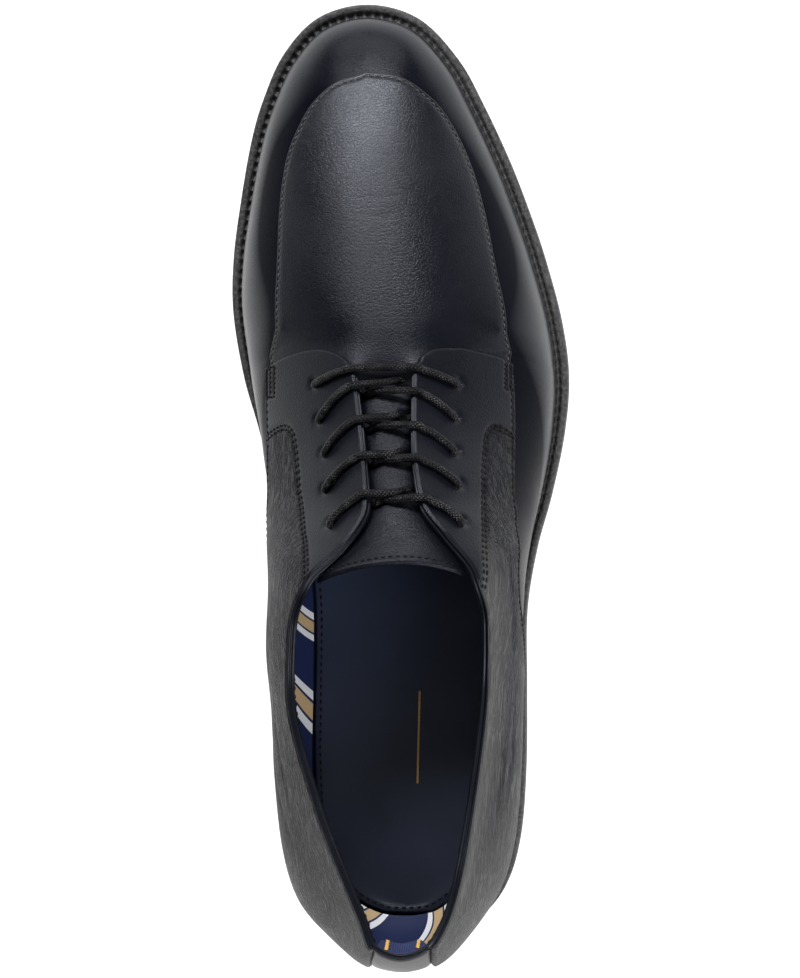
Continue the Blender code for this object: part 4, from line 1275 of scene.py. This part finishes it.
def make_lining():
    """The inside of the upper: striped cloth below a leather band, curving in to the sock at its foot."""
    positions = column_places(-THROAT, LOOP - THROAT, 1.3)
    count = len(positions)
    fractions = row_fractions(ribs(positions), np.zeros(count), np.ones(count), 44)
    grid = on_upper(positions[:, None], fractions)
    sheet = Sheet(grid)
    above = np.array([travelled(column) for column in grid])
    below = above[:, -1:] - above
    edge = rim_inner(positions)[:, None]
    top_fall, foot_rise = 2.5, 7.0
    depth = edge + (WALL - edge) * (1.0 - np.exp(-below / top_fall))
    depth = depth + sock_inset(positions)[:, None] * np.exp(-above / foot_rise)
    along = np.repeat(travelled(grid[:, grid.shape[1] // 2])[:, None], grid.shape[1], axis=1)
    uv = np.column_stack((sheet.own(along), sheet.own(below)))
    faces = [face[::-1] for face in sheet.faces]
    add_piece("lining", sheet.lifted(-sheet.own(depth)), faces, [LINING], ["upper"], uv)


# Tongue

Section = namedtuple("Section", "station clear half_width forward")
TONGUE = (
    (13.0, TUCK_CLEAR, 17.0, 0.0),
    (12.5, TUCK_CLEAR, 17.0, 0.0),
    (12.0, TUCK_CLEAR, 17.0, 0.0),
    (11.5, TUCK_CLEAR, 17.0, 0.0),
    (11.0, THROAT_CLEAR, 17.0, 0.0),
    (10.5, TONGUE_CLEAR, 17.0, 0.0),
    (10.0, TONGUE_CLEAR, 17.0, 0.0),
    (9.6, TONGUE_CLEAR, 17.0, 0.0),
    (9.2, TONGUE_CLEAR, 17.5, 0.0),
    (8.9, TONGUE_CLEAR, 18.5, 0.3),
    (8.6, TONGUE_CLEAR, 20.8, 2.0),
    (8.3, TONGUE_CLEAR, 23.4, 5.4),
    (8.0, TONGUE_CLEAR, 25.6, 9.0),
)
TONGUE_SPANS = 56


def surface_normal(position, fraction):
    """Outward normal of the upper's surface."""
    probe = 0.01
    after = min(position + probe, THROAT if position <= THROAT else LOOP)
    low = min(fraction, 1.0 - probe)
    around = on_upper(np.array((after, after - 2 * probe)), np.full(2, fraction))
    upward = on_upper(np.full(2, position), np.array((low + probe, low)))
    return unit(np.cross(around[0] - around[1], upward[0] - upward[1]))


def tongue_section(section):
    """Middle line of the tongue under two facing ribs, bridging the gap between them."""
    depth = WALL + section.clear + TONGUE_THICK / 2.0
    fractions = np.linspace(0.5, 1.0, 9)
    opposite = LOOP - section.station if section.station > THROAT else -section.station
    wings = []
    for position in (section.station, opposite):
        points = on_upper(position, fractions)
        wings.append([p - surface_normal(position, f) * depth for p, f in zip(points, fractions)])
    first, second = wings
    gap = np.linalg.norm(first[-1] - second[-1])
    leave = unit(first[-1] - first[-2]) * gap / 3.0
    arrive = unit(second[-1] - second[-2]) * gap / 3.0
    arc = np.array((first[-1], first[-1] + leave, second[-1] + arrive, second[-1]))
    bridge = cubic(arc, np.linspace(0.0, 1.0, 21)[1:-1])
    line = np.vstack((first, bridge, second[::-1]))
    middle = travelled(line)[-1] / 2.0
    across = np.linspace(-1.0, 1.0, TONGUE_SPANS + 1)
    points = along_path(line, middle + section.half_width * across)
    points[:, 1] += section.forward * (1.0 - across ** 2)
    return points


def make_tongue(laces):
    """The padded tongue: pressed down under the laces, with a wide, rounded, stitched top edge."""
    sections = np.stack([tongue_section(Section(*row)) for row in TONGUE], axis=1)
    grid = np.stack([smooth_path(column, 9) for column in sections])
    grid = grid[::-1, ::-1]
    sheet = Sheet(grid)
    tree = point_tree(laces)
    air, push_share, edge_round = 0.1, 0.7, 1.2
    clear = LACE_DIAMETER / 2.0 + TONGUE_THICK / 2.0 + air
    middle_points = sheet.points.copy()
    for _ in range(3):
        near = np.array([tree.find(place)[2] for place in middle_points])
        push = np.clip(clear - near, 0.0, clear)
        middle_points = middle_points - sheet.normals * push[:, None] * push_share
    rim = np.concatenate((grid[0], grid[-1], grid[:, 0], grid[:, -1]))
    far, _ = distance_to(sheet.points, rim)
    half = TONGUE_THICK / 2.0 * rounded(far, edge_round)
    outer = middle_points + sheet.normals * half[:, None]
    inner = middle_points - sheet.normals * half[:, None]
    count = len(outer)
    faces = sheet.faces + [[corner + count for corner in face[::-1]] for face in sheet.faces]
    add_piece("tongue_pad", np.concatenate((outer, inner)), faces, [SOFT], ["tongue"])
    inset = 2.2
    row = np.array([along_path(column, [inset])[0] for column in grid])
    row = even_path(row[4:-4], ROW_STEP)
    stitch_row("tongue_stitches", tree_of(outer, sheet.faces), sheet, row, THREAD, PANEL_STITCH)


# Laces

LACE_SHARES = np.array((0.0, 0.14, 0.32, 0.52, 0.7, 0.86))
HOLE_LIFT = 0.5
HOLE_DEPTH = 4.0
TUCK_RISE = 0.3
TUCK_DEPTH = 6.0


def lace_start(surface, side, x, y, run, top):
    """Points of a lace from under its hole, in an arc over its own facing, to the facing's edge."""
    lift = LACE_DIAMETER / 2.0 + 0.05
    edge_point, edge_normal, _ = top.facing(side, y + run.edge)
    edge = edge_point + edge_normal * (RIM_OUTER + lift)
    ahead = run.edge * (1.0 - (1.0 - LACE_SHARES) ** RUN_CURVE)
    places, normals = drop(surface, np.column_stack((x + (edge[0] - x) * LACE_SHARES, y + ahead)))
    over = places + normals * lift
    hole = places[0] + normals[0] * HOLE_LIFT
    return [hole - normals[0] * HOLE_DEPTH, hole, *over[1:], edge]


def lace_end(edge, side, hole_y, run, top):
    """Points of a lace from the edge of its own facing to its place under the other facing."""
    far_point, far_normal, far_up = top.facing(-side, hole_y + run.far_side)
    other = far_point + far_normal * (RIM_OUTER + LACE_DIAMETER / 2.0)
    middle = (edge + other) / 2.0
    far = edge + (other - edge) * FAR_SHARE
    middle[1] = hole_y + run.middle
    far[1] = hole_y + run.far_side
    under = WALL + LACE_DIAMETER / 2.0 + 0.2
    tuck = far_point - far_normal * under + far_up * TUCK_RISE
    hidden = tuck - far_up * TUCK_DEPTH
    return [middle + UP * run.middle_lift, far + UP * run.far_lift, tuck, hidden]


def make_laces(inner_quarter, outer_quarter, top):
    """Five bars through the punched holes: the first one run, the others two runs that cross the gap."""
    runs = []
    for number, (row, share) in enumerate(zip(HOLES, RUN_SHARES), start=1):
        hole = Holes(*row)
        if number == 1:
            start = lace_start(inner_quarter, -1, hole.inner_x, hole.inner_y, FIRST_BAR, top)
            end = lace_start(outer_quarter, 1, hole.outer_x, hole.outer_y, FIRST_BAR, top)
            middle = lace_end(start[-1], -1, hole.inner_y, FIRST_BAR, top)[0]
            routes = [("", [*start, middle, *end[::-1]])]
        else:
            routes = []
            for name, quarter, side, x, y, run in (
                    ("_inner", inner_quarter, -1, hole.inner_x, hole.inner_y, INNER_RUN),
                    ("_outer", outer_quarter, 1, hole.outer_x, hole.outer_y, OUTER_RUN)):
                run = run._replace(edge=run.edge * share, middle=run.middle * share,
                                   far_side=run.far_side * share)
                route = lace_start(quarter, side, x, y, run, top)
                routes.append((name, route + lace_end(route[-1], side, y, run, top)))
        for suffix, route in routes:
            path = even_path(smooth_path(route, 12), 0.3)
            runs.append(path)
            points, faces, uv = tube(path, LACE_DIAMETER / 2.0)
            node = f"lace_row_{number}"
            add_piece(f"lace_{number}{suffix}", points, faces, [BRAID], [node], uv)
    return np.concatenate(runs)


# Sole

def rim_loop(positions, inset, height):
    """A closed ring: the outline moved in, at heights read from the welt's top."""
    points = []
    for p in positions:
        point, outward = outline(p)
        x, y = point - outward * inset(p)
        points.append((x, y, height(y)))
    return np.array(points)


def cap(ring, columns, across, crown=0.0):
    """A grid that fills a ring from side to side, lifted at its middle by the crown."""
    t = np.linspace(0.0, 1.0, across + 1)[None, :, None]
    grid = ring[:columns, None] * (1.0 - t) + ring[::-1][:columns, None] * t
    return grid + UP * crown * (1.0 - (2.0 * t - 1.0) ** 2)


SOLE_STEPS = np.linspace(0.0, LOOP, 8 * LOOP + 1)


def slab(rings, across=12, crown=0.0):
    """A closed plate from rings that run from its underside up its wall to its top."""
    columns = len(rings[0]) // 2 + 1
    lid = cap(rings[-1], columns, across, crown)
    return Sheet(np.stack(rings, axis=1), lid, cap(rings[0], columns, across)[:, ::-1])


def make_outsole():
    """The outsole with rounded edges and a fine groove round its wall."""
    low = WELT_THICK + GAP + OUTSOLE_THICK
    profile = ((0.9, 0.0), (0.3, 0.25), (0.0, 0.9), (0.0, 2.6), (0.35, 2.8), (0.35, 3.1), (0.0, 3.3),
               (0.0, 5.4), (0.2, 5.9), (0.8, 6.2))
    rings = [rim_loop(SOLE_STEPS, lambda p, i=inset: i, lambda y, h=height: welt_top(y) - low + h)
             for inset, height in profile]
    sheet = slab(rings)
    add_piece("outsole_body", sheet.points, sheet.faces, [RUBBER], ["outsole"])


def heel_ring(inset, height):
    """A ring of the heel block: the rear outline, closed by a slightly hollow breast."""
    stations = np.linspace(0.0, HEEL_BREAST, 60)
    sides = []
    for sign in (1.0, -1.0):
        side = []
        for p in stations:
            point, outward = outline(sign * p)
            x, y = point - outward * inset
            side.append((x, y, height(y)))
        sides.append(np.array(side))
    outer, inner = sides
    t = np.linspace(0.0, 1.0, 21)[1:-1, None]
    breast = outer[-1] * (1.0 - t) + inner[-1] * t
    hollow = 2.5
    breast[:, 1] -= hollow * (1.0 - (2.0 * t[:, 0] - 1.0) ** 2)
    return np.vstack((outer, breast, inner[::-1]))


def make_heel():
    """The heel block: a stack and a top piece, with a fine line between."""
    top = WELT_THICK + GAP + OUTSOLE_THICK + GAP
    profile = ((0.7, 0.0), (0.15, 0.25), (0.0, 0.8), (0.0, 5.6), (0.4, 5.8), (0.4, 6.2), (0.0, 6.4))
    rings = [heel_ring(HEEL_INSET + inset, lambda y, h=height: h) for inset, height in profile]
    rings.append(heel_ring(HEEL_INSET, lambda y: welt_top(y) - top + 0.25))
    columns = len(rings[0]) // 2
    base = cap(rings[0], columns, 8)
    lid = cap(rings[-1], columns, 8)
    sheet = Sheet(np.stack(rings, axis=1), base[:, ::-1], lid)
    add_piece("heel_block", sheet.points, sheet.faces, [RUBBER], ["heel"])


# Notches of the welt: their spacing, steps in each, depth at the shallowest, more at the deepest, and shape
NOTCH_PITCH = 3.2
NOTCH_STEPS = 8
NOTCH_SHALLOW = 0.45
NOTCH_DEEPER = 1.05
NOTCH_SHAPE = 0.8
# Section of the welt from its foot round to its foot again: the inset from the outline in millimetres and
# as a share of its reach to the upper, the height over the welt's top, and the share of the notches' depth
WELT_SECTION = (
    (0.5, 0.0, -WELT_THICK, 0.0),
    (0.1, 0.0, 0.3 - WELT_THICK, 0.0),
    (0.0, 0.0, 0.9 - WELT_THICK, 0.0),
    (0.0, 0.0, -0.8, 0.0),
    (0.25, 0.0, -0.25, 0.0),
    (0.7, 0.0, -0.02, 0.0),
    (0.0, 0.36, 0.05, 0.0),
    (0.0, 0.48, -0.08, 0.0),
    (0.0, 0.54, 0.0, 0.5),
    (0.0, 0.62, 0.0, 1.0),
    (0.0, 0.8, 0.0, 1.0),
    (0.0, 0.86, 0.0, 0.6),
    (0.0, 0.9, -0.3, 0.0),
    (0.0, 0.95, -0.15, 0.0),
    (0.3, 1.0, -0.15, 0.0),
    (WALL, 1.0, -0.4, 0.0),
    (WALL, 1.0, -WELT_THICK, 0.0),
    (0.5, 0.0, -WELT_THICK, 0.0),
)
# The bands from this one on, the notch row, the rail beside the upper and the hidden inside, take the darker
# rubber as painted shade.
FIRST_SHADED_BAND = 8


def make_welt():
    """The welt: a stippled rim, a row of notches and a rail beside the upper, the notches and rail painted
    darker as painted shade.
    """
    dense = np.linspace(0.0, LOOP, 3000)
    lines = np.array([np.concatenate(outline(p)) for p in dense])
    length = travelled(lines[:, 0:2])
    notches = int(round(length[-1] / NOTCH_PITCH))
    places = np.linspace(0.0, length[-1], notches * NOTCH_STEPS + 1)
    positions = np.interp(places, length, dense)
    plan = columns_at(places, length, lines)
    reach = np.array([extension(p) for p in positions])
    wave = 0.5 + 0.5 * np.cos(2.0 * math.pi * places / length[-1] * notches)
    pit = NOTCH_SHALLOW + NOTCH_DEEPER * wave ** NOTCH_SHAPE
    rows = []
    for inset, share, height, depth in WELT_SECTION:
        flat = plan[:, 0:2] - plan[:, 2:4] * (inset + share * reach)[:, None]
        tops = np.array([welt_top(y) for y in flat[:, 1]])
        rows.append(np.column_stack((flat, tops + (height - depth * pit))))
    sheet = Sheet(np.stack(rows, axis=1))
    bands = len(WELT_SECTION) - 1
    # Painted shade: the notch row and the rail beside the upper take the darker rubber.
    zones = [int(k % bands >= FIRST_SHADED_BAND) for k in range(len(sheet.faces))]
    add_piece("welt_ring", sheet.points, sheet.faces, [WELT, RUBBER], ["welt"], zones=zones)


def make_sock():
    """The insole with its navy sock: a gently dished top, a rounded edge and a row of stitches."""
    def inset_by(share, more):
        return lambda p: extension(p) + WALL + 2.0 * GAP + share * sock_inset(signed(p % LOOP)) + more

    profile = ((0.0, 0.0, -WELT_THICK), (0.0, 0.0, 0.6), (1.0, 0.0, 0.9), (1.0, 0.0, 1.5), (1.0, 0.2, 1.9),
               (1.0, 0.7, 2.1), (1.0, 2.4, 2.1))
    rings = [rim_loop(SOLE_STEPS, inset_by(share, more), lambda y, h=height: welt_top(y) + h)
             for share, more, height in profile]
    sheet = slab(rings, across=24, crown=-0.8)
    add_piece("sock", sheet.points, sheet.faces, [SOCK], ["insole"])
    row_inset, row_height = 1.75, 2.05
    ring = rim_loop(SOLE_STEPS, inset_by(1.0, row_inset), lambda y: welt_top(y) + row_height)
    row = even_path(ring, 0.3)
    normals = np.tile(UP, (len(row), 1))
    add_stitches("sock_stitches", row, normals, THREAD, SOCK_STITCH, slot="sock_leather")
    rule = np.array([(7.1, -66.0), (6.7, -95.0)])
    surface = tree_of(sheet.points, sheet.faces)
    line, _ = drop(surface, even_path(rule, 1.0))
    half_width = 0.3
    sides = [line + np.array((offset, 0.0, 0.06)) for offset in (half_width, -half_width)]
    strip = Sheet(np.stack(sides, axis=1))
    add_piece("sock_rule", strip.points, strip.faces, [GOLD])


# Heel tab

TAB_START, TAB_END = -1.0, 1.15
TAB_DROP = 0.07
TAB_REACH = (1.2, 5.6)
TAB_THICK = 0.8
BAR_SHARES = (0.17, 0.84)


def make_pull_tab():
    """The ribbon inside the back of the collar, sloping inward, held by two gold bars of stitches."""
    positions = np.linspace(TAB_START, TAB_END, 41)
    rows = np.linspace(0.0, 1.0, 15)
    wall = on_upper(positions[:, None], 1.0 - TAB_DROP * rows[None])
    outward = np.array([surface_normal(p, 1.0 - TAB_DROP) for p in positions])
    near, far = TAB_REACH
    ends = 1.0 - 0.35 * np.linspace(-1.0, 1.0, len(positions))[:, None] ** 4
    reach = near + (far - near) * rows[None] ** 1.2 * ends
    front = wall - outward[:, None] * reach[..., None]
    back = front + outward[:, None] * TAB_THICK
    sheet = Sheet(np.concatenate((front, back[:, ::-1], front[:, :1]), axis=1))
    add_piece("ribbon_tab", sheet.points, sheet.faces, [RIBBON], ["pull_tab"])
    for number, share in enumerate(BAR_SHARES, start=1):
        column = int(round(share * (len(positions) - 1)))
        spine = even_path(front[column], 0.25)
        half_width, clear, rise = 0.55, 0.1, 0.25
        spine[:, 0] = spine[:, 0].mean()
        spine[:, 0] += half_width * (-1.0) ** np.arange(len(spine))
        zigzag = spine - outward[column] * clear + UP * rise
        points, faces, _ = tube(even_path(zigzag, 0.2), 0.2, sides=6)
        add_piece(f"tab_bar_{number}", points, faces, [GOLD])


# Stage

def make_stage():
    """A pale floor, soft studio light and the camera."""
    mesh = bpy.data.meshes.new("floor")
    reach = 30.0
    corners = [(-reach, -reach, 0.0), (reach, -reach, 0.0), (reach, reach, 0.0), (-reach, reach, 0.0)]
    mesh.from_pydata(corners, [], [(0, 1, 2, 3)])
    mesh.materials.append(pale_floor())
    floor = add_object("floor", mesh)

    Lamp = namedtuple("Lamp", "name place aim width height power")
    lamps = (
        Lamp("top_box", (0.0, -0.2, 1.6), (0.0, -0.1, 0.0), 1.2, 1.2, 3.5),
        Lamp("toe_box", (-0.13, 0.84, 0.8), (0.0, 0.09, 0.05), 1.4, 0.2, 24.0),
        Lamp("front_card", (0.0, 1.3, 0.42), (0.0, 0.1, 0.03), 1.6, 0.3, 3.0),
        Lamp("right_box", (0.9, -0.3, 0.12), (0.0, -0.1, 0.06), 0.7, 0.2, 2.0),
        Lamp("rear_box", (0.55, -0.75, 0.9), (0.0, -0.05, 0.04), 0.5, 0.5, 13.0),
    )
    for lamp in lamps:
        data = bpy.data.lights.new(lamp.name, "AREA")
        data.shape = "RECTANGLE"
        data.size = lamp.width
        data.size_y = lamp.height
        data.energy = lamp.power
        light = add_object(lamp.name, data)
        light.location = lamp.place
        light.rotation_euler = (Vector(lamp.aim) - Vector(lamp.place)).to_track_quat("-Z", "Y").to_euler()

    world = bpy.data.worlds.new("studio")
    world.use_nodes = True
    nodes = world.node_tree.nodes
    link = world.node_tree.links.new
    parts = nodes.new("ShaderNodeSeparateXYZ")
    link(nodes.new("ShaderNodeTexCoord").outputs["Generated"], parts.inputs["Vector"])
    fall = nodes.new("ShaderNodeMapRange")
    fall.interpolation_type = "SMOOTHSTEP"
    for socket, value in (("From Min", 0.0), ("From Max", 0.3), ("To Min", 0.13), ("To Max", 0.04)):
        fall.inputs[socket].default_value = value
    link(parts.outputs["Z"], fall.inputs["Value"])
    link(fall.outputs["Result"], nodes["Background"].inputs["Strength"])
    bpy.context.scene.world = world
    bpy.context.scene.view_settings.view_transform = "Standard"

    data = bpy.data.cameras.new("camera")
    data.sensor_fit = "VERTICAL"
    data.sensor_height = SENSOR
    ahead = AIM - CAMERA
    distance = np.linalg.norm(ahead)
    ahead /= distance
    data.lens = distance / MM_PER_PIXEL / IMAGE_HEIGHT * SENSOR
    right = unit(np.cross(ahead, (0.0, 1.0, 0.0)))
    above = np.cross(right, ahead)
    camera = add_object("camera", data)
    turn = Matrix(np.column_stack((right, above, -ahead)).tolist()).to_4x4()
    camera.matrix_world = Matrix.Translation(Vector(to_metres(CAMERA))) @ turn
    bpy.context.scene.camera = camera


make_stage()
top_edge = Top()
make_vamp_wall()
make_apron()
medial, lateral = (make_quarter(quarter) for quarter in QUARTERS)
make_heel_strip()
make_rim(top_edge)
make_lining()
lace_paths = make_laces(medial, lateral, top_edge)
make_tongue(lace_paths)
make_outsole()
make_heel()
make_welt()
make_sock()
make_pull_tab()
